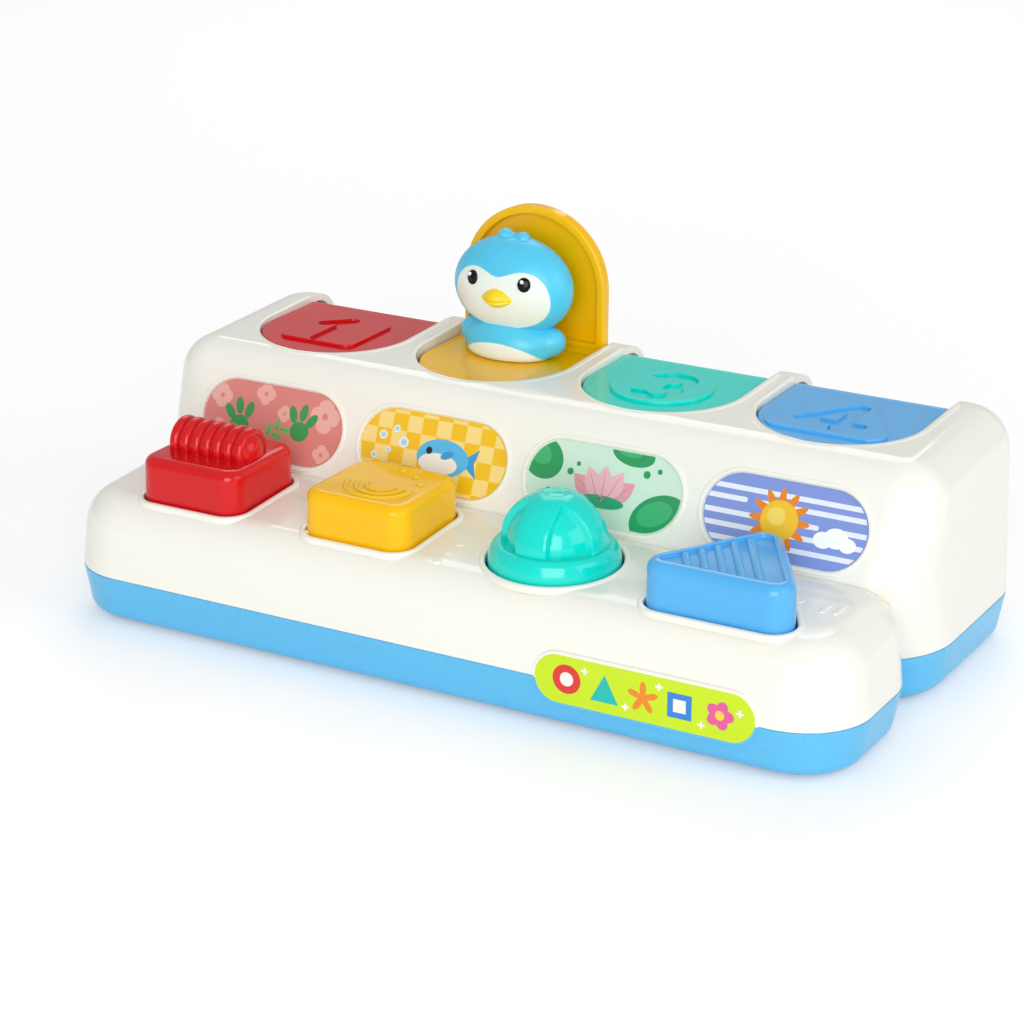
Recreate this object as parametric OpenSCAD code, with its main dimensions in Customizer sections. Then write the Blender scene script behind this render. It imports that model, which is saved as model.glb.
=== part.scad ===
// Pop-up toy: four animals on sprung flaps, each let up by a button on the front deck.
// Units are millimetres. +X runs along the toy, -Y faces the child, +Z is up.
// The origin is on the ground under the middle of the toy's outer box.
// All modules are drawn with y = 0 on the flap hinge line; place() moves them to the origin.

/* [Overall] */
// Length of the toy, along X
toy_len = 296; // [280:1:310]
// Depth of the toy, front label to rear wall
toy_depth = 162; // [156:1:168]
// Distance between two neighbouring flaps
pitch = 66; // [66:0.5:70]
// Height of the seam between base and housing
seam_z = 18; // [16:0.5:20]
// Wall thickness of the moulded shells
wall = 2.5; // [2:0.1:3]

/* [Rear box] */
// Height of the flat top of the rear box
box_top = 85; // [84:0.5:86]
// Radius of the top edge of the rear box
box_fillet = 14; // [12:0.5:15]
// Slope of the face that carries the labels, from the horizontal
face_slope = 69.2; // [67:0.1:72]
// Distance from the hinge line forward to the middle of the label face
face_y = 71.1; // [69:0.1:73]
// Height of the middle of the label face
face_z = 61; // [59:0.5:63]

/* [Deck] */
// Height of the deck where it meets the label face
deck_z = 47.3; // [46:0.1:48]
// Fall of the deck towards the front, in degrees
deck_slope = 3; // [2:0.5:4]
// Radius of the top edge of the deck
deck_fillet = 13; // [10:0.5:14]
// Distance from the hinge line forward to the row of buttons
button_row = 104.5; // [103:0.5:106]

/* [Flaps] */
// Half width of a flap lid
lid_half = 28.4; // [27:0.1:28.4]
// Length of a lid from the hinge axis
lid_len = 54; // [52:0.5:54]
// Thickness of a lid, which is also the radius of its hinge barrel
lid_t = 4.8; // [4.4:0.1:5]
// Height of the hinge axis
hinge_z = 78.5; // [78:0.1:79]
// Radius of a hinge pin
pin_r = 1.5; // [1.2:0.1:1.6]

/* [Buttons] */
// Height of the flat tops of the square and three-sided buttons
cap_top = 61; // [60:0.5:63]
// Half width of a square button
cap_half = 20; // [18:0.5:21]
// Height of the top of the dome
dome_top = 70; // [69:0.5:73]
// Height of the top of the ribbed roller
roller_top = 71; // [69:0.5:72]
// How far a button goes down
press = 6; // [4:0.5:6]

/* [Hidden] */

eps = 0.01;
far = 400;
fine = 64;
hull_fn = 48;
ball_fn = 24;
arm_fn = 14;

white = "#FBFBF2";
base_blue = "#4DB4E6";
red = "#D8141E";
yellow = "#F5B800";
teal = "#10D8C8";
blue = "#5AAFE6";
green = "#3A9C5C";
pink = "#E9A8A0";
penguin_blue = "#5CC8EE";
cream = "#F7EFE2";
orange = "#F39A1E";
lime = "#C6E830";
steel = "#B8BCC0";
rubber = "#2E3133";

// Flap and button columns, left to right.
RED = 0;
YELLOW = 1;
TEAL = 2;
BLUE = 3;
COLS = [RED, YELLOW, TEAL, BLUE];
function col_x(i) = (i - 1.5) * pitch;

half_len = toy_len / 2;
label_t = 0.3;
pad_t = 0.4;
// The front label stands proud of the front wall, so the wall lies behind the outer box.
hinge_y = 54;
front_y = -(toy_depth / 2 + hinge_y) + label_t + pad_t;
rear_y = toy_depth / 2 - hinge_y;
// The rear wall leans in from rear_y at the seam to this under the top edge.
shoulder_back = 18;

// Plan of the two lobes: the deck in front and the rear box behind, with a waist between.
deck_r = 24;
deck_back = -66;
box_front = -72;
box_front_r = 31;
box_rear_r = 25;

// The base stands on rubber feet.
foot_h = 1.5;
floor_t = 3;
floor_z = foot_h + floor_t;
pad_z = floor_z + 2;

// The label face: a plane through (face_y, face_z) that leans back.
face_run = 1 / tan(face_slope);
function face_at(z) = -face_y + (z - face_z) * face_run;
crease_y = face_at(deck_z);
function deck_at(y) = deck_z + (y - crease_y) * tan(deck_slope);

// Openings in the housing.
flap_gap = 0.6;
rim_w = 2.8;
rim_h = 1.2;
button_gap = 0.8;
notch_z = hinge_z - lid_t - 1.2;

// Seat of a flap: it lies just under the lid's level when the flap stands open.
seat_half = lid_half - 0.6;
seat_len = lid_len - 0.6;
seat_top = 3.6;
seat_t = 2.8;
seat_z = hinge_z + seat_top;

// Buttons.
stem_r = 4;
slide_gap = 0.08;
sleeve_r = 6.5;
sleeve_top = 33;
plate_z = 24;
plate_t = 2.5;
stem_bottom = 17;
// The bar under a button meets the sleeve, which stops the button on its way up.
sleeve_bottom = stem_bottom + 0.4;
skirt_z = 35.5;
flange_t = 2;
flange_w = 1.6;
ring_r = 22;
tri_r = 7;
tri_side = 36;
bar_h = 4;
nose_gap = 0.5;

// ---- helpers ----

module place() { translate([0, hinge_y, 0]) children(); }

// Column i, with x = 0 on its centre line.
module at_col(i) { translate([col_x(i), 0, 0]) children(); }

// Hinge axis of a column; close turns a flap from standing open to closed.
module at_hinge(i, close = 0) { at_col(i) translate([0, 0, hinge_z]) rotate([close, 0, 0]) children(); }

// Centre of a button at height z.
module at_button(i, z = 0) { at_col(i) translate([0, -button_row, z]) children(); }

// A frame lying on the deck, z = 0 on its surface.
module on_deck(x, y) { translate([x, y, deck_at(y)]) rotate([deck_slope, 0, 0]) children(); }

// A frame lying on the label face, z = 0 on its surface, +Y up the slope.
module on_face(x) { translate([x, -face_y, face_z]) rotate([face_slope, 0, 0]) children(); }

module rounded_square(half, r) {
    inner = half - r;
    square([2 * half, 2 * inner], center = true);
    square([2 * inner, 2 * half], center = true);
    for (sx = [-1, 1], sy = [-1, 1]) translate([sx * inner, sy * inner]) circle(r = r, $fn = fine);
}

// Three-sided outline, base towards -Y, rounded corners of radius r, grown by g.
function tri_corner(a) = let (d = tri_side / sqrt(3)) [d * cos(a), d * sin(a) - 3.5];
module tri_outline(r) {
    hull() for (a = [90, 210, 330]) translate(tri_corner(a)) circle(r = r, $fn = 48);
}

// D-shaped outline: straight edge on y = 0, round end at y = len.
module d_outline(half, len) intersection() {
    translate([-half, 0]) square([2 * half, len]);
    union() {
        translate([-half, 0]) square([2 * half, len - half]);
        translate([0, len - half]) circle(r = half, $fn = 96);
    }
}

module pill(w, h) {
    square([w - h, h], center = true);
    for (s = [-1, 1]) translate([s * (w - h) / 2, 0]) circle(r = h / 2, $fn = fine);
}

// Corner post of a moulded shell: radius r0 at z0, r1 just under a top edge of radius f at z1.
module post(r0, z0, r1, z1, f) {
    rotate_extrude($fn = hull_fn) polygon(concat(
        [[0, z0], [r0, z0]],
        [for (a = [0:15:90]) [r1 - f + f * cos(a), z1 - f + f * sin(a)]],
        [[0, z1]]));
}

// Post with its rounded edge at the bottom.
module foot_post(r0, z0, r1, z1, f) {
    rotate_extrude($fn = hull_fn) polygon(concat(
        [[0, z0]],
        [for (a = [-90:15:0]) [r0 - f + f * cos(a), z0 + f + f * sin(a)]],
        [[r1, z1], [0, z1]]));
}

// ---- shells ----

// Deck lobe of the housing, drawn in by t for its inside.
module deck_solid(t = 0) {
    draft = 1.5;
    r1 = deck_r - draft - t;
    x = half_len - deck_r;
    front = front_y + deck_r;
    back = deck_back - deck_r;
    hull() for (s = [-1, 1], y = [front, back])
        translate([s * x, y, 0]) post(deck_r - t, seam_z - t, r1, deck_at(y) - t, deck_fillet - t);
}

// Rear box of the housing, drawn in by t for its inside. Its front leans back above the deck
// and meets the top in an arc that starts along the slope of the face.
module box_solid(t = 0) {
    mid_r = 20;
    top_r = 16;
    back_r = 20;
    mid_x = half_len - 1;
    top_x = half_len - 0.5;
    arc_z = box_top - box_fillet * (1 - cos(face_slope));
    top_front = face_at(arc_z) - box_fillet * (1 - sin(face_slope));
    hull() for (s = [-1, 1]) {
        box_corner(s * (half_len - box_front_r), box_front + box_front_r, seam_z, box_front_r, t);
        box_corner(s * (half_len - box_rear_r), rear_y - box_rear_r, seam_z, box_rear_r, t);
        box_corner(s * (mid_x - mid_r), crease_y + mid_r, deck_z, mid_r, t);
        top_corner(s * (top_x - top_r), top_front + top_r, top_r, t);
        top_corner(s * (top_x - back_r), shoulder_back - back_r, back_r, t);
    }
}
module box_corner(x, y, z, r, t) {
    translate([x, y, z - t]) cylinder(r = r - t, h = 1, $fn = hull_fn);
}
module top_corner(x, y, r, t) {
    low = box_top - box_fillet - 1;
    translate([x, y, 0]) post(r - t, low, r - t, box_top - t, box_fillet - t);
}

// One lobe of the base: drafted wall with a rounded bottom edge.
module base_lobe(front, back, r_front, r_back, t) {
    draft = 2;
    edge = 5;
    z0 = foot_h + (t > 0 ? floor_t : 0);
    z1 = seam_z + (t > 0 ? 1 : 0);
    hull() for (s = [-1, 1]) {
        translate([s * (half_len - r_front), front + r_front, 0])
            foot_post(r_front - draft - t, z0, r_front - t, z1, edge);
        translate([s * (half_len - r_back), back - r_back, 0])
            foot_post(r_back - draft - t, z0, r_back - t, z1, edge);
    }
}

// ---- places of bosses, posts and feet ----

CASE_BOSSES = [[-134, -100], [134, -100], [-134, -24], [134, -24], [-pitch / 2, 17], [pitch / 2, 17]];
RACK_X = [for (m = [-2:2]) m * pitch];
RACK_Y = 8.2;
PLATE_X = [-128, -pitch, 0, pitch, 128];
PLATE_Y = -button_row;
FOOT_X = [-126, -64, 0, 64, 126];
FOOT_Y = [-116, 12];
screw_hole_r = 1.25;
screw_clear_r = 1.6;
screw_head_r = 2.8;
head_pocket = 2.5;
SCREW_AT = concat(CASE_BOSSES, [for (x = RACK_X) [x, RACK_Y]], [for (x = PLATE_X) [x, PLATE_Y]]);

// ---- base ----

module base_tray() color(base_blue) place() {
    difference() {
        union() {
            difference() {
                union() {
                    base_lobe(front_y, deck_back, deck_r, deck_r, 0);
                    base_lobe(box_front, rear_y, box_front_r, box_rear_r, 0);
                }
                base_lobe(front_y, deck_back, deck_r, deck_r, wall);
                base_lobe(box_front, rear_y, box_front_r, box_rear_r, wall);
                // Way through the waist for the release bars.
                translate([-114, -90, floor_z]) cube([228, 50, 30]);
            }
            for (p = CASE_BOSSES) translate([p[0], p[1], floor_z - eps])
                cylinder(r = 4.5, h = seam_z - floor_z + eps, $fn = fine);
            for (x = RACK_X) floor_pad(x, RACK_Y);
            for (x = PLATE_X) floor_pad(x, PLATE_Y);
            label_pad(0, seam_z);
        }
        for (p = SCREW_AT) translate([p[0], p[1], 0]) {
            cylinder(r = screw_head_r + 0.4, h = foot_h + head_pocket, $fn = fine);
            cylinder(r = screw_clear_r, h = seam_z + 1, $fn = fine);
        }
    }
}

// Low pad that a post of the rack or the plate stands on.
module floor_pad(x, y) {
    translate([x, y, floor_z - eps]) cylinder(r = 5.5, h = pad_z - floor_z + eps, $fn = fine);
}

// Raised pill-shaped pad on the front wall, between heights z0 and z1.
label_x = 81;
label_z = 19.3;
label_w = 77;
label_h = 16.4;
module label_pad(z0, z1) {
    intersection() {
        translate([label_x, front_y + wall - 0.5, label_z]) rotate([90, 0, 0])
            linear_extrude(wall - 0.5 + pad_t) pill(label_w + 2, label_h + 2);
        translate([label_x - label_w, front_y - 5, z0]) cube([2 * label_w, 20, z1 - z0]);
    }
}

module rubber_feet() color(rubber) place()
    for (x = FOOT_X, y = FOOT_Y) translate([x, y, 0]) cylinder(r = 5, h = foot_h, $fn = fine);

module case_screws() color(steel) place()
    for (p = SCREW_AT) translate([p[0], p[1], foot_h + head_pocket]) {
        translate([0, 0, -2]) cylinder(r = screw_head_r, h = 2, $fn = fine);
        cylinder(r = screw_hole_r, h = 23, $fn = fine);
    }

// ---- housing ----

module housing() color(white) place() {
    difference() {
        union() {
            difference() {
                union() {
                    deck_solid();
                    box_solid();
                }
                deck_solid(wall);
                box_solid(wall);
            }
            case_posts();
            notch_shelves();
            label_pad(seam_z, 2 * seam_z);
            for (i = COLS) {
                flap_rim(i);
                button_rim(i);
                label_border(i);
            }
            deck_marks();
        }
        for (i = COLS) {
            flap_opening(i);
            button_hole(i);
            label_recess(i);
        }
        for (p = CASE_BOSSES)
            translate([p[0], p[1], seam_z - 5]) cylinder(r = screw_hole_r, h = 15, $fn = fine);
        translate([-far / 2, -far / 2, seam_z - far]) cube(far);
    }
}

// Screw posts inside the shell, each tied to the nearest wall by a rib.
post_h = 14;
module case_posts() {
    for (p = CASE_BOSSES) translate([p[0], p[1], seam_z]) {
        cylinder(r = 4.5, h = post_h, $fn = fine);
        if (p[1] > 0) translate([-1, 0, 0]) cube([2, rear_y - 4.2 - p[1], post_h]);
        else translate([p[0] > 0 ? 0 : -half_len + 1.2 + abs(p[0]), -1, 0])
            cube([half_len - 1.2 - abs(p[0]), 2, post_h]);
    }
}

// Shelf behind each flap, from the rear wall to just behind the hinge barrel.
shelf_z = notch_z - wall;
module notch_shelves() {
    for (i = COLS) at_col(i) translate([-pitch / 2 + 3, lid_t + 1.4, shelf_z])
        cube([pitch - 6, shoulder_back - lid_t - 2.4, wall]);
}

// Opening over a flap, open to the rear above the shelf.
module flap_opening(i) at_col(i) {
    half = lid_half + flap_gap;
    translate([0, 0, hinge_z - 12]) linear_extrude(30) mirror([0, 1, 0]) d_outline(half, lid_len + flap_gap);
    translate([-half, -1, notch_z]) cube([2 * half, 60, 30]);
}

// Raised rim round a flap opening, with a rounded end at the rear.
module flap_rim(i) at_col(i) {
    half = lid_half + flap_gap;
    translate([0, 0, box_top - 1.5]) linear_extrude(1.5 + rim_h) difference() {
        mirror([0, 1, 0]) d_outline(half + rim_w, lid_len + flap_gap + rim_w);
        mirror([0, 1, 0]) translate([0, -1]) d_outline(half, lid_len + flap_gap + 1);
    }
    for (s = [-1, 1]) translate([s * (half + rim_w / 2), 0, box_top - 3])
        cylinder(r = rim_w / 2, h = 3 + rim_h, $fn = fine);
}

module button_outline(i, g) {
    if (i == TEAL) circle(r = ring_r + g, $fn = 128);
    else if (i == BLUE) tri_outline(tri_r + g);
    else rounded_square(cap_half + g, 7 + g);
}

module button_hole(i) at_button(i, 30) linear_extrude(30) button_outline(i, button_gap);

module button_rim(i) at_col(i) on_deck(0, -button_row) translate([0, 0, -1]) linear_extrude(1 + rim_h)
    button_outline(i, button_gap + 2);

label_w1 = 57.8;
label_h1 = 26.4;
recess = 0.6;
module label_border(i) on_face(col_x(i)) translate([0, 0, -1]) linear_extrude(1.5) difference() {
    pill(label_w1 + 3.6, label_h1 + 3.6);
    pill(label_w1 + 0.8, label_h1 + 0.8);
}
module label_recess(i) on_face(col_x(i)) translate([0, 0, -recess]) linear_extrude(2)
    pill(label_w1 + 0.8, label_h1 + 0.8);

// Small raised marks on the deck: three dots, two bars with a dot, and one long bar.
mark_h = 0.8;
module dot(x, y) on_deck(x, y) cylinder(r = 1.6, h = mark_h, $fn = fine);
module bar(x, y, len, turn) on_deck(x, y) rotate(turn) translate([0, 0, mark_h / 2])
    cube([len, 2, mark_h], center = true);
module deck_marks() {
    for (y = [-108.2, -115.6, -123]) dot(-0.5, y);
    dot(117, -98.4);
    bar(126.6, -100, 7.5, 88);
    bar(131, -99.2, 8, 86);
    bar(-58, -122, 16, 0);
}

// ---- hinge rack and control plate ----

ear_t = 6;
ear_r = 3.5;
beam_z0 = 60;
beam_z1 = 68;
module hinge_rack() color(white) place() {
    beam_y0 = 8;
    beam_y1 = 12.5;
    difference() {
        union() {
            translate([-2 * pitch - ear_t / 2, beam_y0, beam_z0])
                cube([4 * pitch + ear_t, beam_y1 - beam_y0, beam_z1 - beam_z0]);
            for (x = RACK_X) translate([x - ear_t / 2, 0, 0]) {
                translate([0, 0, hinge_z]) rotate([0, 90, 0]) cylinder(r = ear_r, h = ear_t, $fn = fine);
                translate([0, -ear_r, beam_z0]) cube([ear_t, 2 * ear_r, hinge_z - beam_z0]);
                translate([0, -ear_r, beam_z0]) cube([ear_t, beam_y1 + ear_r, beam_z1 - beam_z0]);
                translate([0, 4, pad_z]) cube([ear_t, beam_y1 - 4, beam_z1 - pad_z]);
            }
            for (i = COLS) at_col(i) translate([-4, spring_leg_y + spring_wire, beam_z0])
                cube([8, beam_y1 - spring_leg_y - spring_wire, beam_z1 - beam_z0]);
        }
        translate([-far / 2, 0, hinge_z]) rotate([0, 90, 0]) cylinder(r = pin_r, h = far, $fn = fine);
        for (x = RACK_X) translate([x, RACK_Y, 0]) cylinder(r = screw_hole_r, h = 30, $fn = fine);
    }
}

module control_plate() color(white) place() {
    difference() {
        union() {
            translate([-133, -126, plate_z]) cube([266, 45, plate_t]);
            for (i = COLS) at_button(i, sleeve_bottom)
                cylinder(r = sleeve_r, h = sleeve_top - sleeve_bottom, $fn = fine);
            for (x = PLATE_X) translate([x, PLATE_Y, pad_z])
                cylinder(r = 4.5, h = plate_z + plate_t - pad_z, $fn = fine);
        }
        for (i = COLS) at_button(i, 0) cylinder(r = stem_r + slide_gap, h = 60, $fn = fine);
        for (x = PLATE_X) translate([x, PLATE_Y, 0]) cylinder(r = screw_hole_r, h = 27.5, $fn = fine);
        for (p = CASE_BOSSES) translate([p[0], p[1], 0]) cylinder(r = 5.5, h = 60, $fn = fine);
    }
}

// ---- flaps ----

module hinge_pin(i) color(steel) place() at_hinge(i) translate([-pitch / 2 + 0.1, 0, 0]) rotate([0, 90, 0])
    cylinder(r = pin_r, h = pitch - 0.2, $fn = fine);

// A flap as it stands open: lid up the +Z axis, seat towards -Y, barrel round the hinge axis.
tray_rim = 3;
tray_depth = 3;
tray_start = seat_top + 3;
spring_gap = 12.4;
// Space for the torsion spring under a skin of the lid, open below for the spring's leg.
spring_clear_r = 4.1;
module flap_shape(i) {
    difference() {
        union() {
            translate([0, lid_t, 0]) rotate([90, 0, 0]) difference() {
                linear_extrude(lid_t) d_outline(lid_half, lid_len);
                translate([0, 0, lid_t - tray_depth]) linear_extrude(lid_t)
                    translate([0, tray_start])
                        d_outline(lid_half - tray_rim, lid_len - tray_rim - tray_start);
            }
            translate([0, 0, seat_top - seat_t]) linear_extrude(seat_t)
                mirror([0, 1, 0]) d_outline(seat_half, seat_len);
            rotate([0, 90, 0]) cylinder(r = lid_t, h = 2 * lid_half, center = true, $fn = fine);
            on_lid(-eps) linear_extrude(badge_h + eps) badge(i);
        }
        rotate([0, 90, 0]) cylinder(r = pin_r + 0.1, h = far, center = true, $fn = fine);
        rotate([0, 90, 0]) cylinder(r = spring_clear_r, h = spring_gap, center = true, $fn = fine);
        translate([-spring_gap / 2, -7, -7]) cube([spring_gap, 14, 6]);
        on_lid(badge_h - digit_depth) linear_extrude(2) digit(i);
        screw_spot() translate([0, 0, seat_top - seat_t - 1])
            cylinder(r = screw_clear_r, h = seat_t + 2, $fn = fine);
    }
}

// A frame on the outside of a lid, at its middle, d above the surface.
badge_h = 0.8;
digit_depth = 0.6;
module on_lid(d) translate([0, lid_t + d, lid_len / 2 + 1]) rotate([-90, 0, 0]) children();

// Outline of the raised badge on a lid: it repeats the shape of the lid's button.
module badge(i) {
    if (i == TEAL) circle(r = 18, $fn = 96);
    else if (i == BLUE) scale(0.86) tri_outline(tri_r);
    else rounded_square(15.5, 4);
}

// Numbers one to four, drawn from bars and arcs at half their size.
digit_w = 2.8;
module stroke(x0, y0, x1, y1) {
    hull() {
        translate([x0, y0]) circle(d = digit_w, $fn = 24);
        translate([x1, y1]) circle(d = digit_w, $fn = 24);
    }
}
module arc_stroke(x, y, r, a0, a1) {
    steps = 8;
    turns = [for (k = [0:steps]) a0 + (a1 - a0) * k / steps];
    outer = [for (b = turns) [cos(b), sin(b)] * (r + digit_w / 2)];
    inner = [for (k = [0:steps]) [cos(turns[steps - k]), sin(turns[steps - k])] * (r - digit_w / 2)];
    translate([x, y]) polygon(concat(outer, inner));
}
module digit(i) scale(2) {
    if (i == RED) {
        stroke(0, -6.3, 0, 5.6);
        stroke(0, 5.6, -3.6, 2.2);
    }
    if (i == YELLOW) {
        arc_stroke(0, 2.6, 3.4, -35, 180);
        stroke(2.8, 0.6, -3.4, -6);
        stroke(-3.4, -6, 3.6, -6);
    }
    if (i == TEAL) {
        arc_stroke(0.5, 3.1, 3.1, -90, 170);
        arc_stroke(0.5, -3.1, 3.1, -170, 90);
    }
    if (i == BLUE) {
        stroke(1.7, -6.3, 1.7, 5.6);
        stroke(1, 5.6, -5.5, -3.5);
        stroke(-5.5, -3.5, 4.8, -3.5);
    }
}

flap_close = [90, 0, 90, 90];
module flap(i, c) color(c) place() at_hinge(i, flap_close[i]) flap_shape(i);

// Torsion spring round a hinge pin; its fixed leg bears on the rack.
spring_wire = 0.5;
spring_leg_y = 3.3;
module flap_spring(i) color(steel) place() at_hinge(i) {
    rotate([0, 90, 0]) difference() {
        cylinder(r = spring_leg_y + spring_wire, h = 8, center = true, $fn = fine);
        cylinder(r = spring_leg_y - spring_wire, h = 20, center = true, $fn = fine);
    }
    leg = hinge_z - beam_z0 - 2;
    translate([3, spring_leg_y, -leg]) cylinder(r = spring_wire, h = leg, $fn = 24);
}

// ---- figures ----
// Each stands on its seat with its middle at figure_y. All of it stays inside the flap's swing.

figure_y = -16.5;
body_size = [17.8, 12, 18.5];
arm_size = [4.2, 4.8, 5.4];
head_z = 25;

module screw_spot() translate([0, figure_y, 0]) children();
module at_figure(i) place() at_hinge(i, flap_close[i]) translate([0, figure_y, seat_top]) children();

// Squat body with its arms, flat where it stands, with a socket for the screw.
module body_ball() ball([0, 0, 0], body_size, ball_fn);
module figure_body(i, c) color(c) at_figure(i) difference() {
    union() {
        body_ball();
        for (s = [-1, 1]) ball([s * 17, -0.5, 7.4], arm_size, arm_fn);
    }
    translate([-far / 2, -far / 2, -far]) cube([far, far, far]);
    translate([0, 0, -1]) cylinder(r = screw_hole_r, h = 9, $fn = fine);
    head_ball(i);
}

// Main ball of a head: half widths along X and Y and half height.
HEAD_SIZE = [[17, 13.5, 17], [23, 13.2, 18], [19.5, 13.5, 17.5], [16.5, 12.5, 15.5]];
head_back = 2.2;
module head_ball(i) ball([0, head_back, head_z], HEAD_SIZE[i], ball_fn);

// An egg-shaped ball: centre, half widths and number of sides.
module ball(at, size, sides) hull() translate(at) scale(size) sphere(r = 1, $fn = sides);

module penguin_body() figure_body(YELLOW, penguin_blue);
module penguin_head() color(penguin_blue) at_figure(YELLOW) {
    head_ball(YELLOW);
    ball([-3.4, head_back, head_z + 17], [3.3, 3, 3.4], 16);
    ball([3, head_back, head_z + 16.4], [3.3, 3, 3.1], 16);
}
module penguin_beak() color(yellow) at_figure(YELLOW) difference() {
    ball([0, head_back - 11.6, head_z - 1.6], [5.6, 4.4, 3.8], 20);
    head_ball(YELLOW);
}

module dinosaur_body() figure_body(RED, green);
module dinosaur_head() color(green) at_figure(RED) {
    head_ball(RED);
    for (k = [-1:1]) translate([0, 6 + 4 * k, head_z + 13.5 - 4 * k]) rotate([0, 90, 0])
        cylinder(r = 3.2, h = 3, center = true, $fn = 24);
}
module dinosaur_muzzle() color("#7FB08A") at_figure(RED) difference() {
    ball([0, -8, head_z - 6], [17.6, 9.4, 10], ball_fn);
    head_ball(RED);
    body_ball();
}

module hippo_body() figure_body(TEAL, pink);
module hippo_head() color(pink) at_figure(TEAL) {
    head_ball(TEAL);
    for (s = [-1, 1]) ball([s * 13, 0, head_z + 14], [4.6, 3, 4.6], 20);
}
module hippo_muzzle() color(cream) at_figure(TEAL) difference() {
    ball([0, -8, head_z - 6.5], [16.5, 10, 9.5], ball_fn);
    head_ball(TEAL);
    body_ball();
}

module lion_body() figure_body(BLUE, yellow);
mane_lobes = 12;
mane_t = 7;
module lion_mane() color(orange) at_figure(BLUE) difference() {
    translate([0, 4.7 + mane_t, head_z + 1]) rotate([90, 0, 0]) linear_extrude(mane_t) {
        circle(r = 18.5, $fn = 64);
        for (k = [0:mane_lobes - 1]) rotate(k * 360 / mane_lobes) translate([17, 0]) circle(r = 5, $fn = 32);
    }
    head_ball(BLUE);
    translate([-far / 2, -far / 2, -far + 2]) cube([far, far, far]);
    body_ball();
}
module lion_head() color(yellow) at_figure(BLUE) difference() {
    head_ball(BLUE);
    body_ball();
}

module figure_screw(i) color(steel) at_figure(i) {
    translate([0, 0, -seat_t - 1.6]) cylinder(r = screw_head_r, h = 1.6, $fn = fine);
    translate([0, 0, -seat_t]) cylinder(r = screw_hole_r, h = seat_t + 5.5, $fn = fine);
}

// ---- buttons ----

function stem_top(i) = (i == TEAL ? dome_top : cap_top) - 2;

// Hollow cap under a moulded top; the flange below the deck keeps it in.
module cap_body(i) {
    difference() {
        union() {
            cap_top_shape(i);
            at_button(i, skirt_z) linear_extrude(flange_t) button_outline(i, flange_w);
        }
        if (i == TEAL) dome_hollow();
        else at_button(i, skirt_z - 1) linear_extrude(cap_top - 3 - skirt_z + 1) button_outline(i, -2.4);
    }
    difference() {
        at_button(i, stem_bottom) cylinder(r = stem_r, h = stem_top(i) - stem_bottom, $fn = fine);
        at_button(i, stem_bottom - 1) cylinder(r = screw_hole_r, h = 11, $fn = fine);
    }
}
edge_r = 3.5;
module cap_post(r) {
    rotate_extrude($fn = hull_fn) polygon(concat(
        [[0, skirt_z], [r, skirt_z]],
        [for (a = [0:15:90]) [r - edge_r + edge_r * cos(a), cap_top - edge_r + edge_r * sin(a)]],
        [[0, cap_top]]));
}

module cap_top_shape(i) {
    r = 7;
    if (i == TEAL) dome();
    else if (i == BLUE) hull() for (a = [90, 210, 330]) at_button(i) translate(tri_corner(a)) cap_post(r);
    else hull() for (sx = [-1, 1], sy = [-1, 1])
        at_button(i) translate([sx * (cap_half - r), sy * (cap_half - r), 0]) cap_post(r);
}

// Dome with a wide skirt; two bands cross over an inner ball and leave four hollows.
dome_r = 18;
band_w = 12;
module dome() at_button(TEAL) {
    shoulder = 53;
    rise = dome_top - shoulder;
    hollow = 2;
    difference() {
        intersection() {
            rotate_extrude($fn = 96) polygon(concat(
                [[0, skirt_z], [ring_r, skirt_z], [ring_r, 46]],
                [for (a = [15:15:75]) [18.5 + (ring_r - 18.5) * cos(a), 46 + 7 * sin(a)]],
                [for (a = [5:5:90]) [dome_r * cos(a), shoulder + rise * sin(a)]]));
            union() {
                cylinder(r = 30, h = shoulder, $fn = fine);
                rotate_extrude($fn = 96) polygon(concat([[0, skirt_z], [dome_r - hollow, skirt_z]],
                    [for (a = [0:6:90]) [(dome_r - hollow) * cos(a), shoulder + (rise - hollow) * sin(a)]]));
                for (turn = [0, 90]) rotate(turn)
                    translate([-30, -band_w / 2, skirt_z]) cube([60, band_w, 60]);
            }
        }
        translate([0, 0, dome_top - 0.6]) cylinder(r = 4, h = 2, $fn = fine);
    }
}

module dome_hollow() at_button(TEAL) rotate_extrude($fn = 96) polygon(concat(
    [[0, skirt_z - 1], [ring_r - 2.4, skirt_z - 1], [ring_r - 2.4, 44], [dome_r - 4, 50]],
    [for (a = [10:10:90]) [(dome_r - 4) * cos(a), 50 + (dome_top - 54.5) * sin(a)]]));

module button_red() color(red) place() {
    cap_body(RED);
    intersection() {
        roller();
        at_button(RED, cap_top - 1.5) linear_extrude(20) square(2 * cap_half, center = true);
    }
}

// Ribbed roller across the top of the first button.
roller_half = 16;
rings = 7;
module roller() at_button(RED, roller_top - 8.5) rotate([0, 90, 0]) {
    cylinder(r = 7.2, h = 2 * roller_half - 4, center = true, $fn = fine);
    for (k = [0:rings - 1]) translate([0, 0, (k - (rings - 1) / 2) * 4.4])
        rotate_extrude($fn = fine) translate([6.6, 0]) circle(r = 1.9, $fn = 24);
    for (s = [-1, 1]) translate([0, 0, s * (roller_half - 4)]) sphere(r = 6.2, $fn = fine);
}

module button_yellow() color(yellow) place() {
    cap_body(YELLOW);
    at_button(YELLOW, cap_top) {
        for (r = [4.5, 8, 11.5]) translate([2, -3, -0.5])
            rotate_extrude(angle = 170, start = 185, $fn = fine) translate([r, 0]) square([1.5, 1.2]);
        for (p = [[13, 3.5], [8, 9.5], [1, 12.5]])
            translate([p[0], p[1], -1]) cylinder(r = 1.7, h = 1.7, $fn = fine);
    }
}

module button_teal() color(teal) place() cap_body(TEAL);

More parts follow.
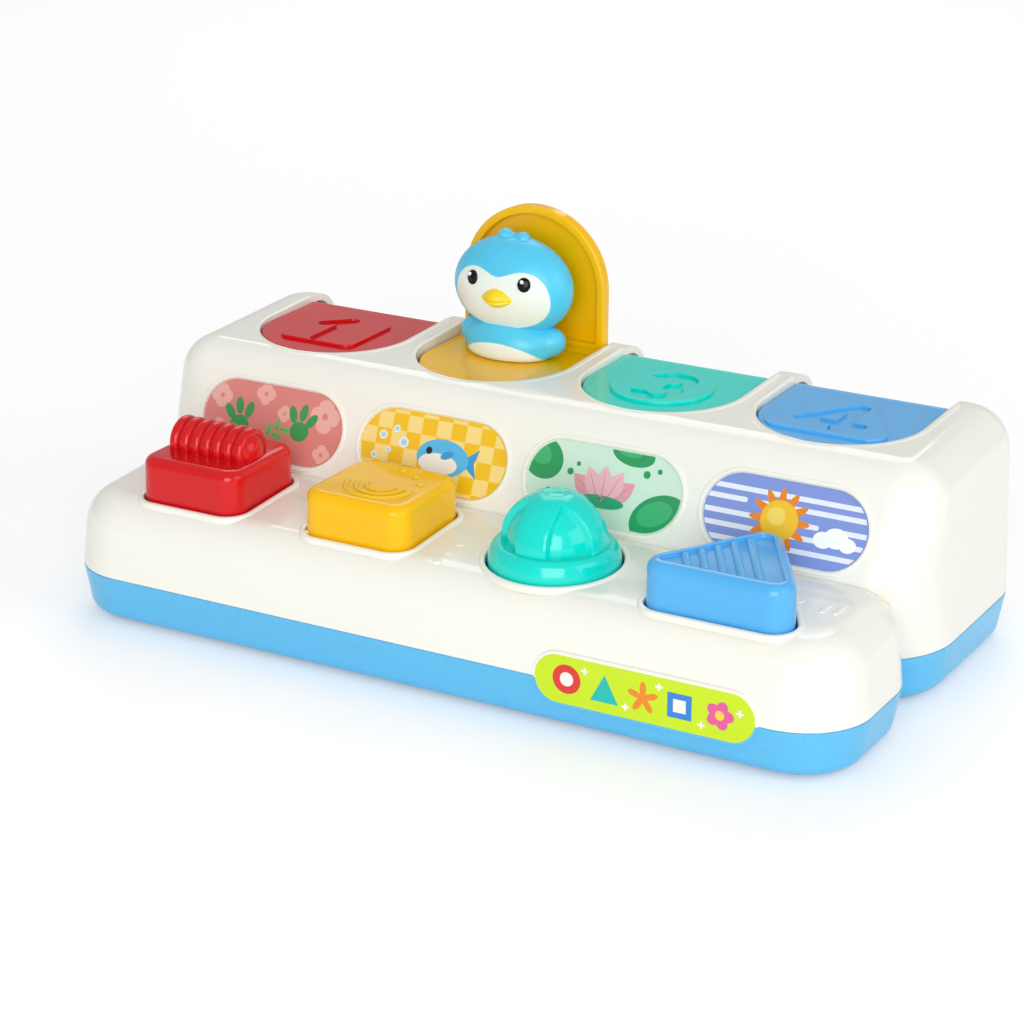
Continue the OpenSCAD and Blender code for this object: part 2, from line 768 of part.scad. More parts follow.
// Ribs in the top of the three-sided button, side by side along its right edge.
rib_step = 5.4;
rib_mid = -6.4;
rib_turn = 30;
rib_recess_r = 3.6;
module button_blue() color(blue) place() difference() {
    cap_body(BLUE);
    difference() {
        at_button(BLUE, cap_top - 1.4) linear_extrude(4) tri_outline(rib_recess_r);
        rib_bars();
    }
}
module rib_bars() intersection() {
    at_button(BLUE, cap_top - 3) linear_extrude(5) tri_outline(rib_recess_r - 0.9);
    for (k = [-2:2]) at_button(BLUE) rotate(rib_turn) translate([rib_mid + k * rib_step, 0, cap_top - 1.8])
        rotate([90, 0, 0]) cylinder(r = 1.4, h = 80, center = true, $fn = 24);
}

function spring_top(i) = i == TEAL ? 61 : cap_top - 3;

// Return spring round the sleeve, from the plate to the underside of the cap.
module button_spring(i) color(steel) place() at_button(i, plate_z + plate_t) difference() {
    h = spring_top(i) - plate_z - plate_t;
    cylinder(r = 9, h = h, $fn = fine);
    translate([0, 0, -1]) cylinder(r = 7.4, h = h + 2, $fn = fine);
}

// Bar under a button: its nose stands before the edge of the closed seat.
module release_bar(i) color(white) place() at_col(i) {
    nose_z = hinge_z - seat_len - nose_gap;
    difference() {
        union() {
            translate([0, -button_row, stem_bottom - bar_h]) cylinder(r = 6, h = bar_h, $fn = fine);
            translate([-4, -button_row, stem_bottom - bar_h]) cube([8, button_row - 3.5, bar_h]);
            translate([-4, -6.5, stem_bottom - bar_h]) cube([8, 3, nose_z - stem_bottom + bar_h]);
        }
        translate([0, -button_row, 0]) cylinder(r = screw_clear_r, h = 60, $fn = fine);
    }
}

module bar_screw(i) color(steel) place() at_button(i, stem_bottom - bar_h) {
    translate([0, 0, -1.6]) cylinder(r = screw_head_r, h = 1.6, $fn = fine);
    cylinder(r = screw_hole_r, h = bar_h + 9, $fn = fine);
}

// ---- labels ----

module face_label(i, c) color(c) place() on_face(col_x(i)) translate([0, 0, -recess]) linear_extrude(label_t)
    pill(label_w1, label_h1);
module label_front() color(lime) place() translate([label_x, front_y - pad_t, label_z]) rotate([90, 0, 0])
    linear_extrude(label_t) pill(label_w, label_h);

base_tray();
housing();
hinge_rack();
control_plate();
rubber_feet();
case_screws();
hinge_pin(RED);  // pin_red
hinge_pin(YELLOW);  // pin_yellow
hinge_pin(TEAL);  // pin_teal
hinge_pin(BLUE);  // pin_blue
flap(RED, red);  // flap_red
flap(YELLOW, yellow);  // flap_yellow
flap(TEAL, teal);  // flap_teal
flap(BLUE, blue);  // flap_blue
flap_spring(RED);  // flap_spring_red
flap_spring(YELLOW);  // flap_spring_yellow
flap_spring(TEAL);  // flap_spring_teal
flap_spring(BLUE);  // flap_spring_blue
dinosaur_body();
dinosaur_head();
dinosaur_muzzle();
penguin_body();
penguin_head();
penguin_beak();
hippo_body();
hippo_head();
hippo_muzzle();
lion_body();
lion_mane();
lion_head();
figure_screw(RED);  // figure_screw_red
figure_screw(YELLOW);  // figure_screw_yellow
figure_screw(TEAL);  // figure_screw_teal
figure_screw(BLUE);  // figure_screw_blue
button_red();
button_yellow();
button_teal();
button_blue();
button_spring(RED);  // button_spring_red
button_spring(YELLOW);  // button_spring_yellow
button_spring(TEAL);  // button_spring_teal
button_spring(BLUE);  // button_spring_blue
release_bar(RED);  // release_bar_red
release_bar(YELLOW);  // release_bar_yellow
release_bar(TEAL);  // release_bar_teal
release_bar(BLUE);  // release_bar_blue
bar_screw(RED);  // bar_screw_red
bar_screw(YELLOW);  // bar_screw_yellow
bar_screw(TEAL);  // bar_screw_teal
bar_screw(BLUE);  // bar_screw_blue
face_label(RED, "#E58E86");  // label_red
face_label(YELLOW, "#F3C93A");  // label_yellow
face_label(TEAL, "#CFE9D2");  // label_teal
face_label(BLUE, "#9DB8EA");  // label_blue
label_front();
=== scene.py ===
"""Looks of a pop up toy: four sprung flaps with an animal on each, let up by four buttons.

Sizes are in millimetres until a form becomes an object, which is in metres. Forms are drawn with
y = 0 on the hinge line of the flaps, as the solids are, and moved into the frame as they are placed.
"""

import logging
import math
from dataclasses import dataclass, field
from enum import Enum
from typing import Any, Callable, Iterable, Sequence

import bmesh
import bpy
from mathutils import Matrix, Vector

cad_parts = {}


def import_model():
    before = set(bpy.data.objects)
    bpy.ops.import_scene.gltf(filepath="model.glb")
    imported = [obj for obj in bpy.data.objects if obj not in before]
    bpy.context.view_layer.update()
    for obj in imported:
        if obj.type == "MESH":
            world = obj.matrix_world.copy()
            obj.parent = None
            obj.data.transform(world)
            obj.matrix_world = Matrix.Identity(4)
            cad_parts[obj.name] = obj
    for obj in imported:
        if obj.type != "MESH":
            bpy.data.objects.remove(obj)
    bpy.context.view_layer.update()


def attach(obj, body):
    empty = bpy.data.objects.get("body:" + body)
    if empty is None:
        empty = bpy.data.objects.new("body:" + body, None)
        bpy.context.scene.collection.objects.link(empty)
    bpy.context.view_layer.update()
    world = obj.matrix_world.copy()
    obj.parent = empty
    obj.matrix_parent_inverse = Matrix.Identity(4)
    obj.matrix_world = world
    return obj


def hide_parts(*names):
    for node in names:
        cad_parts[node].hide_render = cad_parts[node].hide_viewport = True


log = logging.getLogger("pop_up_toy")

MM = 0.001
HARD_EDGE = 32.0  # degrees; sharper edges stay hard
NO_PATCH = -3.0  # paint value far from any sprayed patch
Node = bpy.types.Node
Object = bpy.types.Object
Material = bpy.types.Material
Profile = list[tuple[float, float]]
Ring = list[Vector]
Paint = Callable[[Vector], float]
Sockets = dict[str | int, Any]


# ---- columns and frames ----


class Column(Enum):
    """The four flap and button columns, from left to right."""

    RED = 0
    YELLOW = 1
    TEAL = 2
    BLUE = 3

    @property
    def tag(self) -> str:
        """Last word of the names of this column's solids."""
        return self.name.lower()

    @property
    def x(self) -> float:
        """Middle of the column along the toy."""
        return (self.value - 1.5) * LAYOUT.pitch

    @property
    def closed(self) -> float:
        """Degrees that the flap is turned from standing open at rest."""
        return 0.0 if self is Column.YELLOW else 90.0


def turn_x(degrees: float) -> Matrix:
    """Turn about X."""
    return Matrix.Rotation(math.radians(degrees), 4, "X")


def turn_y(degrees: float) -> Matrix:
    """Turn about Y."""
    return Matrix.Rotation(math.radians(degrees), 4, "Y")


def turn_z(degrees: float) -> Matrix:
    """Turn about Z."""
    return Matrix.Rotation(math.radians(degrees), 4, "Z")


def shift(x: float, y: float, z: float) -> Matrix:
    """Move by x, y and z."""
    return Matrix.Translation((x, y, z))


@dataclass(frozen=True)
class Layout:
    """The places and sizes that the sub-assemblies share."""

    pitch: float = 66.0
    half_len: float = 148.0
    hinge_y: float = 54.0
    hinge_z: float = 78.5
    front_y: float = -134.3
    rear_y: float = 27.0
    seam_z: float = 18.0
    box_top: float = 85.0
    face_slope: float = 69.2
    face_y: float = 71.1
    face_z: float = 61.0
    deck_z: float = 47.3
    deck_slope: float = 3.0
    button_row: float = 104.5
    figure_y: float = -16.5
    seat_top: float = 3.6
    open_half: float = 29.0
    open_len: float = 54.6
    cap_top: float = 61.0
    label: tuple[float, float] = (57.8, 26.4)
    strip_x: float = 81.0
    strip_z: float = 19.3

    def face_at(self, z: float) -> float:
        """Depth of the label face at height z."""
        return -self.face_y + (z - self.face_z) / math.tan(math.radians(self.face_slope))

    def deck_at(self, y: float) -> float:
        """Height of the deck at depth y."""
        return self.deck_z + (y - self.face_at(self.deck_z)) * math.tan(math.radians(self.deck_slope))

    def at(self, x: float, y: float, z: float) -> Matrix:
        """Frame at a point, level."""
        return shift(x, y + self.hinge_y, z)

    def hinge(self, column: Column) -> Matrix:
        """Frame of a flap, lid up +Z and seat towards -Y, turned as the flap is at rest."""
        return self.at(column.x, 0, self.hinge_z) @ turn_x(column.closed)

    def figure(self, column: Column) -> Matrix:
        """Frame on the seat of a flap, under the middle of its figure."""
        return self.hinge(column) @ shift(0, self.figure_y, self.seat_top)

    def deck(self, x: float, y: float) -> Matrix:
        """Frame that lies on the deck."""
        return self.at(x, y, self.deck_at(y)) @ turn_x(self.deck_slope)

    def face(self, x: float) -> Matrix:
        """Frame that lies on the label face, +Y up the slope."""
        return self.at(x, -self.face_y, self.face_z) @ turn_x(self.face_slope)

    def button(self, column: Column, z: float = 0.0) -> Matrix:
        """Frame on the axis of a button."""
        return self.at(column.x, -self.button_row, z)


LAYOUT = Layout()


# ---- forms ----


@dataclass(frozen=True)
class Outline:
    """A flat outline drawn tight round circles (x, y, radius), listed counter-clockwise."""

    circles: tuple[tuple[float, float, float], ...]
    step: float = 4.0

    def ring(self, grow: float = 0.0, z: float = 0.0) -> Ring:
        """Points of the outline.

        Args:
            grow: How far the outline is drawn outward.
            z: Height of the ring.

        Returns:
            The points, counter-clockwise, as many for any grow.
        """
        if len(self.circles) == 1:
            x, y, r = self.circles[0]
            count = round(360 / self.step)
            turns = [2 * math.pi * k / count for k in range(count)]
            return [Vector((x + (r + grow) * math.cos(a), y + (r + grow) * math.sin(a), z)) for a in turns]
        normals = []
        for k, (ax, ay, ar) in enumerate(self.circles):
            bx, by, br = self.circles[(k + 1) % len(self.circles)]
            away = math.hypot(bx - ax, by - ay)
            normals.append(math.atan2(by - ay, bx - ax) - math.pi / 2 + math.asin((ar - br) / away))
        points: Ring = []
        for k, (x, y, r) in enumerate(self.circles):
            start = normals[k - 1]
            turn = (normals[k] - start) % (2 * math.pi)
            steps = max(1, math.ceil(math.degrees(turn) / self.step))
            radius = max(r + grow, 0.02)
            for s in range(steps + 1):
                a = start + turn * s / steps
                points.append(Vector((x + radius * math.cos(a), y + radius * math.sin(a), z)))
        return points


def disc(r: float, step: float = 4.0) -> Outline:
    """Round outline."""
    return Outline(((0, 0, r),), step)


def rounded_square(half: float, r: float) -> Outline:
    """Square outline with rounded corners."""
    k = half - r
    return Outline(((-k, -k, r), (k, -k, r), (k, k, r), (-k, k, r)))


def pill(width: float, height: float) -> Outline:
    """Outline with two round ends."""
    k = (width - height) / 2
    return Outline(((-k, 0, height / 2), (k, 0, height / 2)))


def three_sided(r: float) -> Outline:
    """Outline of the blue button, base towards -Y."""
    d = 36 / math.sqrt(3)
    turns = [math.radians(a) for a in (90, 210, 330)]
    return Outline(tuple((d * math.cos(a), d * math.sin(a) - 3.5, r) for a in turns))


def d_shape(half: float, length: float, start: float = 0.0, corner: float = 1.0) -> Outline:
    """Outline with a straight side at y = start and a round end at start + length."""
    return Outline(
        (
            (corner - half, start + corner, corner),
            (half - corner, start + corner, corner),
            (0, start + length - half, half),
        ),
        3.0,
    )


def arc(x: float, z: float, r: float, a0: float, a1: float, steps: int = 5) -> Profile:
    """Points on an arc from a0 to a1 degrees."""
    turns = [math.radians(a0 + (a1 - a0) * k / steps) for k in range(steps + 1)]
    return [(x + r * math.cos(a), z + r * math.sin(a)) for a in turns]


def edge_profile(z0: float, z1: float, low: float, high: float) -> Profile:
    """Side of a plate from z0 to z1 with edge radii low and high."""
    return arc(-low, z0 + low, low, -90, 0) + arc(-high, z1 - high, high, 0, 90)


class Form:
    """Points in millimetres and faces, before they become an object."""

    def __init__(self) -> None:
        """Starts with nothing."""
        self.points: list[Vector] = []
        self.values: list[float] = []
        self.faces: list[list[int]] = []
        self.looks: list[int] = []

    def put(self, points: Iterable[Vector], paint: Paint | None = None) -> int:
        """Adds points, each with its paint value, and returns the number of the first."""
        first = len(self.points)
        for p in points:
            self.points.append(Vector(p))
            self.values.append(paint(p) if paint else NO_PATCH)
        return first

    def face(self, corners: Sequence[int], look: int = 0) -> None:
        """Adds one face."""
        self.faces.append(list(corners))
        self.looks.append(look)

    def loft(
        self,
        rings: Sequence[Ring],
        look: int = 0,
        capped: bool = True,
        loop: bool = False,
        paint: Paint | None = None,
    ) -> "Form":
        """Skins rings of equally many points.

        Args:
            rings: The rings, each closed on itself.
            look: Material of the faces.
            capped: Closes the first and the last ring with a face.
            loop: Joins the last ring to the first.
            paint: Gives each point its paint value.

        Returns:
            This form.
        """
        n = len(rings[0])
        first = self.put((p for ring in rings for p in ring), paint)
        for a in range(len(rings) if loop else len(rings) - 1):
            b = (a + 1) % len(rings)
            for k in range(n):
                m = (k + 1) % n
                self.face([first + a * n + k, first + a * n + m, first + b * n + m, first + b * n + k], look)
        if capped and not loop:
            self.face([first + k for k in reversed(range(n))], look)
            self.face([first + (len(rings) - 1) * n + k for k in range(n)], look)
        return self

    def stack(self, outline: Outline, profile: Profile, look: int = 0, loop: bool = False) -> "Form":
        """Skins an outline that grows and rises along a profile."""
        return self.loft([outline.ring(g, z) for g, z in profile], look, True, loop)

    def plate(
        self, outline: Outline, z0: float, z1: float, low: float = 0.6, high: float = 0.6, look: int = 0
    ) -> "Form":
        """Solid plate with rounded edges."""
        return self.stack(outline, edge_profile(z0, z1, low, high), look)

    def ball(
        self,
        at: Sequence[float],
        size: Sequence[float],
        rows: int = 24,
        columns: int = 40,
        look: int = 0,
        paint: Paint | None = None,
        turn: Matrix | None = None,
    ) -> "Form":
        """Egg-shaped ball.

        Args:
            at: Centre.
            size: Half widths.
            rows: Rows of faces from pole to pole.
            columns: Faces round it.
            look: Material of the faces.
            paint: Gives each point its paint value.
            turn: Turn about the centre.

        Returns:
            This form.
        """

        def spot(latitude: float, k: float) -> Vector:
            """Point on the ball."""
            a, b = math.radians(latitude), 2 * math.pi * k / columns
            flat = math.cos(a)
            p = Vector((flat * math.cos(b) * size[0], flat * math.sin(b) * size[1], math.sin(a) * size[2]))
            return (turn @ p if turn else p) + Vector(at)

        levels = [-90 + 180 * r / rows for r in range(1, rows)]
        first = self.put((spot(lat, k) for lat in levels for k in range(columns)), paint)
        for a in range(len(levels) - 1):
            for k in range(columns):
                m, base = (k + 1) % columns, first + a * columns
                self.face([base + k, base + m, base + columns + m, base + columns + k], look)
        last = first + (len(levels) - 1) * columns
        top = self.put([spot(90, 0)], paint)
        bottom = self.put([spot(-90, 0)], paint)
        for k in range(columns):
            self.face([last + k, last + (k + 1) % columns, top], look)
        for k in range(columns):
            self.face([first + (k + 1) % columns, first + k, bottom], look)
        return self

    def tube(self, path: Sequence[Vector], radius: float | Sequence[float], sides: int = 10) -> "Form":
        """Round bar along a path, with flat ends, its cross-section carried along without twist.

        Args:
            path: Middle line.
            radius: One radius, or one for each point of the path.
            sides: Faces round it.

        Returns:
            This form.
        """
        rings: list[Ring] = []
        side = Vector()
        turns = [2 * math.pi * s / sides for s in range(sides)]
        for k, p in enumerate(path):
            ahead = (path[min(k + 1, len(path) - 1)] - path[max(k - 1, 0)]).normalized()
            if k == 0:
                side = ahead.orthogonal().normalized()
            side = (side - side.dot(ahead) * ahead).normalized()
            other = ahead.cross(side)
            r = radius if isinstance(radius, (int, float)) else radius[k]
            rings.append([p + r * (math.cos(a) * side + math.sin(a) * other) for a in turns])
        return self.loft(rings)

    def round_bar(self, path: Sequence[Vector], r: float, sides: int, rows: int) -> "Form":
        """Bar along a path with a ball on each end."""
        self.tube(path, r, sides)
        for end in (path[0], path[-1]):
            self.ball(end, (r, r, r), rows, sides)
        return self

    def add(self, other: "Form", place: Matrix | None = None) -> "Form":
        """Takes in another form, moved to a place.

        Args:
            other: The form.
            place: Where it goes, or None to leave it where it is.

        Returns:
            This form.
        """
        first = len(self.points)
        self.points += [place @ p for p in other.points] if place else [p.copy() for p in other.points]
        self.values += other.values
        self.faces += [[first + k for k in f] for f in other.faces]
        self.looks += other.looks
        return self

    def build(
        self,
        name: str,
        place: Matrix | None = None,
        finishes: Sequence[Material] = (),
        solid: bool = True,
    ) -> Object:
        """Makes the object, in metres, with its place in its mesh.

        Args:
            name: Name of the object.
            place: Frame of the form.
            finishes: Materials by number.
            solid: Turns the faces of each closed shell outward.

        Returns:
            The object.
        """
        mesh = bpy.data.meshes.new(name)
        where = place or shift(0, LAYOUT.hinge_y, 0)
        mesh.from_pydata([MM * (where @ p) for p in self.points], [], self.faces)
        mesh.polygons.foreach_set("material_index", self.looks)
        if any("vinyl" in finish.name for finish in finishes):
            mesh.attributes.new("patch", "FLOAT", "POINT").data.foreach_set("value", self.values)
        made = new_object(name, mesh)
        for finish in finishes:
            mesh.materials.append(finish)
        if solid:
            bm = bmesh.new()
            bm.from_mesh(mesh)
            bmesh.ops.recalc_face_normals(bm, faces=bm.faces)
            bm.to_mesh(mesh)
            bm.free()
        return smooth(made)


def prism(outline: Outline, z0: float, z1: float, grow: float = 0.0) -> Form:
    """Straight-sided block over an outline, for cutting."""
    return Form().stack(outline, [(grow, z0), (grow, z1)])


def to_front(ring: Ring) -> Ring:
    """Ring mirrored to lie towards -Y, still counter-clockwise."""
    return [Vector((p.x, -p.y, p.z)) for p in reversed(ring)]


def hull(points: Iterable[Vector]) -> Form:
    """Tight skin round points, with its flat parts in one face each.

    Args:
        points: The points.

    Returns:
        The skin.
    """
    bm = bmesh.new()
    for p in points:
        bm.verts.new(p)
    made = bmesh.ops.convex_hull(bm, input=bm.verts)
    loose = {v for v in made["geom_interior"] + made["geom_unused"] if isinstance(v, bmesh.types.BMVert)}
    bmesh.ops.delete(bm, geom=list(loose), context="VERTS")
    bmesh.ops.dissolve_limit(bm, angle_limit=math.radians(0.3), verts=bm.verts, edges=bm.edges)
    bm.verts.ensure_lookup_table()
    form = Form()
    form.put(v.co.copy() for v in bm.verts)
    for f in bm.faces:
        form.face([v.index for v in f.verts])
    bm.free()
    return form


def box_form(low: Sequence[float], high: Sequence[float]) -> Form:
    """Plain block between two corners, for cutting and for hidden ribs."""
    (x0, x1), (y0, y1), zs = zip(low, high)
    plan = ((x0, y0), (x1, y0), (x1, y1), (x0, y1))
    return Form().loft([[Vector((x, y, z)) for x, y in plan] for z in zs])


# ---- objects ----


def new_object(name: str, data: bpy.types.ID) -> Object:
    """Object in the scene that shows some data."""
    made = bpy.data.objects.new(name, data)
    bpy.context.scene.collection.objects.link(made)
    return made


def settle(made: Object) -> Object:
    """Makes an object's modifiers part of its mesh.

    Args:
        made: The object.

    Returns:
        The same object.
    """
    bpy.context.view_layer.update()
    graph = bpy.context.evaluated_depsgraph_get()
    mesh = bpy.data.meshes.new_from_object(made.evaluated_get(graph))
    made.modifiers.clear()
    old = made.data
    made.data = mesh
    mesh.name = made.name
    if old.users == 0:
        bpy.data.meshes.remove(old)
    return made


def smooth(made: Object) -> Object:
    """Smooth shading, hard at sharp edges, flat faces kept flat beside rounded ones.

    Args:
        made: The object.

    Returns:
        The same object.
    """
    made.data.shade_smooth()
    made.data.set_sharp_from_angle(angle=math.radians(HARD_EDGE))
    weigh = made.modifiers.new("flat_faces_first", "WEIGHTED_NORMAL")
    weigh.keep_sharp = True
    weigh.weight = 60
    return settle(made)


class Cut(Enum):
    """What a tool does to the form it meets."""

    TAKE_OUT = "DIFFERENCE"
    ADD = "UNION"


def carve(made: Object, tools: Sequence[Object], how: Cut = Cut.TAKE_OUT) -> Object:
    """Cuts tools out of an object, or adds them to it, and removes them.

    Args:
        made: The object.
        tools: Closed shells.
        how: Take out or add.

    Returns:
        The object.
    """
    bench = bpy.data.collections.new("bench")
    bpy.context.scene.collection.children.link(bench)
    for tool in tools:
        bpy.context.scene.collection.objects.unlink(tool)
        bench.objects.link(tool)
    cut = made.modifiers.new("cut", "BOOLEAN")
    cut.operation = how.value
    cut.solver = "EXACT"
    cut.operand_type = "COLLECTION"
    cut.collection = bench
    settle(made)
    for tool in tools:
        bpy.data.objects.remove(tool)
    bpy.data.collections.remove(bench)
    return smooth(made)


def join(name: str, pieces: Sequence[Object]) -> Object:
    """Makes one object of several, which are removed.

    Args:
        name: Name of the new object.
        pieces: The objects, each with its own materials.

    Returns:
        The new object.
    """
    bm = bmesh.new()
    slots: list[Material] = []
    for piece in pieces:
        before = len(bm.faces)
        bm.from_mesh(piece.data)
        bm.faces.ensure_lookup_table()
        own = list(piece.data.materials)
        for k in range(before, len(bm.faces)):
            look = own[bm.faces[k].material_index] if own else None
            if look is not None and look not in slots:
                slots.append(look)
            bm.faces[k].material_index = slots.index(look) if look is not None else 0
    mesh = bpy.data.meshes.new(name)
    bm.to_mesh(mesh)
    bm.free()
    for look in slots:
        mesh.materials.append(look)
    made = new_object(name, mesh)
    for piece in pieces:
        bpy.data.objects.remove(piece)
    return smooth(made)


def soften(node: str, name: str, finish: Material, width: float = 0.4) -> Object:
    """Copy of a solid with its hard edges rounded, as a mould leaves them.

    Args:
        node: The solid.
        name: Name of the copy.
        finish: Its material.
        width: Radius of the edges.

    Returns:
        The object.
    """
    mesh = bpy.data.objects[node].data.copy()
    mesh.materials.clear()
    mesh.materials.append(finish)
    bm = bmesh.new()
    bm.from_mesh(mesh)
    bmesh.ops.remove_doubles(bm, verts=bm.verts, dist=1e-6)
    bmesh.ops.dissolve_limit(bm, angle_limit=math.radians(1), verts=bm.verts, edges=bm.edges)
    for f in bm.faces:
        f.material_index = 0
    bm.to_mesh(mesh)
    bm.free()
    made = new_object(name, mesh)
    edge = made.modifiers.new("mould_edge", "BEVEL")
    edge.width = width * MM
    edge.segments = 2
    edge.limit_method = "ANGLE"
    edge.angle_limit = math.radians(40)
    return smooth(settle(made))


def copies_tree() -> bpy.types.NodeTree:
    """Geometry nodes that set a master mesh on each point of a mesh, turned at random.

    Returns:
        The tree, whose inputs are set for each mesh.
    """
    tree = bpy.data.node_groups.new("copies_on_points", "GeometryNodeTree")
    face = tree.interface
    for name, kind in (
        ("Geometry", "NodeSocketGeometry"),
        ("Master", "NodeSocketObject"),
        ("Finish", "NodeSocketMaterial"),
        ("Turn", "NodeSocketFloat"),
        ("Seed", "NodeSocketInt"),
    ):
        face.new_socket(name=name, in_out="INPUT", socket_type=kind)
    face.new_socket(name="Geometry", in_out="OUTPUT", socket_type="NodeSocketGeometry")
    start = add_node(tree, "NodeGroupInput")
    master = add_node(tree, "GeometryNodeObjectInfo", {}, {"Object": start.outputs["Master"]})
    limits = {3: start.outputs["Turn"], "Seed": start.outputs["Seed"]}
    spin = add_node(tree, "FunctionNodeRandomValue", {"data_type": "FLOAT"}, limits)
    turn = add_node(tree, "ShaderNodeCombineXYZ", {}, {"Z": spin.outputs[1]})
    links = {
        "Points": start.outputs["Geometry"],
        "Instance": master.outputs["Geometry"],
        "Rotation": turn.outputs[0],
    }
    copies = add_node(tree, "GeometryNodeInstanceOnPoints", {}, links)
    real = add_node(tree, "GeometryNodeRealizeInstances", {}, {"Geometry": copies.outputs[0]})
    links = {"Geometry": real.outputs[0], "Material": start.outputs["Finish"]}
    dress = add_node(tree, "GeometryNodeSetMaterial", {}, links)
    add_node(tree, "NodeGroupOutput", {}, {0: dress.outputs[0]})
    return tree


def repeat(
    name: str,
    master: Form,
    places: Sequence[Vector],
    finish: Material,
    frame: Matrix | None = None,
    turn: float = 0.0,
) -> Object:
    """One mesh of like pieces, made by geometry nodes.

    Args:
        name: Name of the object.
        master: The piece.
        places: Where each copy goes, in the frame.
        finish: Material of the copies.
        frame: Frame of the places.
        turn: Most that a copy is turned about Z, in degrees.

    Returns:
        The object.
    """
    tree = bpy.data.node_groups.get("copies_on_points") or copies_tree()
    pattern = master.build(name + "_master", Matrix.Identity(4))
    mesh = bpy.data.meshes.new(name)
    mesh.from_pydata([MM * p for p in places], [], [])
    made = new_object(name, mesh)
    grow = made.modifiers.new("copies", "NODES")
    grow.node_group = tree
    values = {"Master": pattern, "Finish": finish, "Turn": math.radians(turn), "Seed": 7}
    for item in tree.interface.items_tree:
        if item.in_out == "INPUT" and item.name in values:
            grow[item.identifier] = values[item.name]
    settle(made)
    bpy.data.objects.remove(pattern)
    where = (frame or shift(0, LAYOUT.hinge_y, 0)).copy()
    where.translation *= MM
    made.data.transform(where)
    return smooth(made)


def place(made: Object, body: str, slot: str, *nodes: str) -> Object:
    """Sets an object on its body, hides the solids that it stands for, and reports it.

    Args:
        made: The object.
        body: Body that it rides on.
        slot: Name of its finish; not used.
        nodes: Solids that it replaces.

    Returns:
        The same object.
    """
    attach(made, body)
    if nodes:
        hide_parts(*nodes)
    log.info("%s: %d faces on %s", made.name, len(made.data.polygons), body)
    return made


# ---- finishes ----


def linear(colour: str, share: float = 1.0) -> tuple[float, float, float, float]:
    """Linear colour of an sRGB hex value.

    Args:
        colour: The hex value.
        share: Part of its brightness that is kept.

    Returns:
        Red, green, blue and alpha.
    """
    parts = [int(colour[k : k + 2], 16) / 255 for k in (1, 3, 5)]
    r, g, b = (p / 12.92 if p <= 0.04045 else ((p + 0.055) / 1.055) ** 2.4 for p in parts)
    return (r * share, g * share, b * share, 1.0)


def wire(tree: bpy.types.NodeTree, node: Node, settings: Sockets, links: Sockets | None = None) -> Node:
    """Gives a node its settings and links.

    Args:
        tree: Tree of the node.
        node: The node.
        settings: Values by property name in small letters, or by input name or number.
        links: Output sockets by input name or number.

    Returns:
        The node.
    """
    for key, value in settings.items():
        if isinstance(key, str) and key[0].islower():
            setattr(node, key, value)
        else:
            node.inputs[key].default_value = value
    for key, socket in (links or {}).items():
        tree.links.new(socket, node.inputs[key])
    return node


def add_node(
    tree: bpy.types.NodeTree, kind: str, settings: Sockets | None = None, links: Sockets | None = None
) -> Node:
    """Adds a node of a kind to a tree, with its settings and links."""
    return wire(tree, tree.nodes.new(kind), settings or {}, links)


def start_material(name: str) -> tuple[Material, bpy.types.NodeTree, Node, Any]:
    """New material with its shader on the output.

    Args:
        name: Name of the material.

    Returns:
        The material, its tree, its shader and the piece's own coordinates.
    """
    made = bpy.data.materials.new(name)
    made.use_nodes = True
    tree = made.node_tree
    tree.nodes.clear()
    shader = add_node(tree, "ShaderNodeBsdfPrincipled")
    add_node(tree, "ShaderNodeOutputMaterial", {}, {"Surface": shader.outputs[0]})
    return made, tree, shader, add_node(tree, "ShaderNodeTexCoord").outputs["Object"]


def per_mm(size: float) -> float:
    """Scale of a pattern whose features are this many millimetres wide."""
    return 1000.0 / size


def waves(tree: bpy.types.NodeTree, shader: Node, coords: Any, layers: Sequence[tuple[float, float]]) -> None:
    """Noise relief joined to the shader.

    Args:
        tree: Tree of the material.
        shader: Its shader.
        coords: Coordinates of the noise.
        layers: Width and height of each layer, in millimetres.
    """
    below = None
    for width, height in layers:
        settings = {"Scale": per_mm(width), "Detail": 2.0}
        noise = add_node(tree, "ShaderNodeTexNoise", settings, {"Vector": coords})
        links = {"Height": noise.outputs[0]}
        if below is not None:
            links["Normal"] = below.outputs[0]
        below = add_node(tree, "ShaderNodeBump", {"Strength": 1.0, "Distance": height * MM}, links)
    if below is not None:
        tree.links.new(below.outputs[0], shader.inputs["Normal"])


def mottle(
    tree: bpy.types.NodeTree,
    coords: Any,
    grain: tuple[float, float],
    low: Sequence[float],
    full: Sequence[float],
) -> tuple[Any, Any]:
    """Noise that runs between two colours.

    Args:
        tree: Tree of the material.
        coords: Coordinates of the noise.
        grain: Width of the noise in millimetres, and its detail.
        low: Colour where the noise is 0.
        full: Colour where it is 1.

    Returns:
        Sockets of the colour and of the noise.
    """
    settings = {"Scale": per_mm(grain[0]), "Detail": grain[1]}
    noise = add_node(tree, "ShaderNodeTexNoise", settings, {"Vector": coords}).outputs[0]
    mix = add_node(tree, "ShaderNodeMix", {"data_type": "RGBA", 6: low, 7: full}, {"Factor": noise})
    return mix.outputs[2], noise


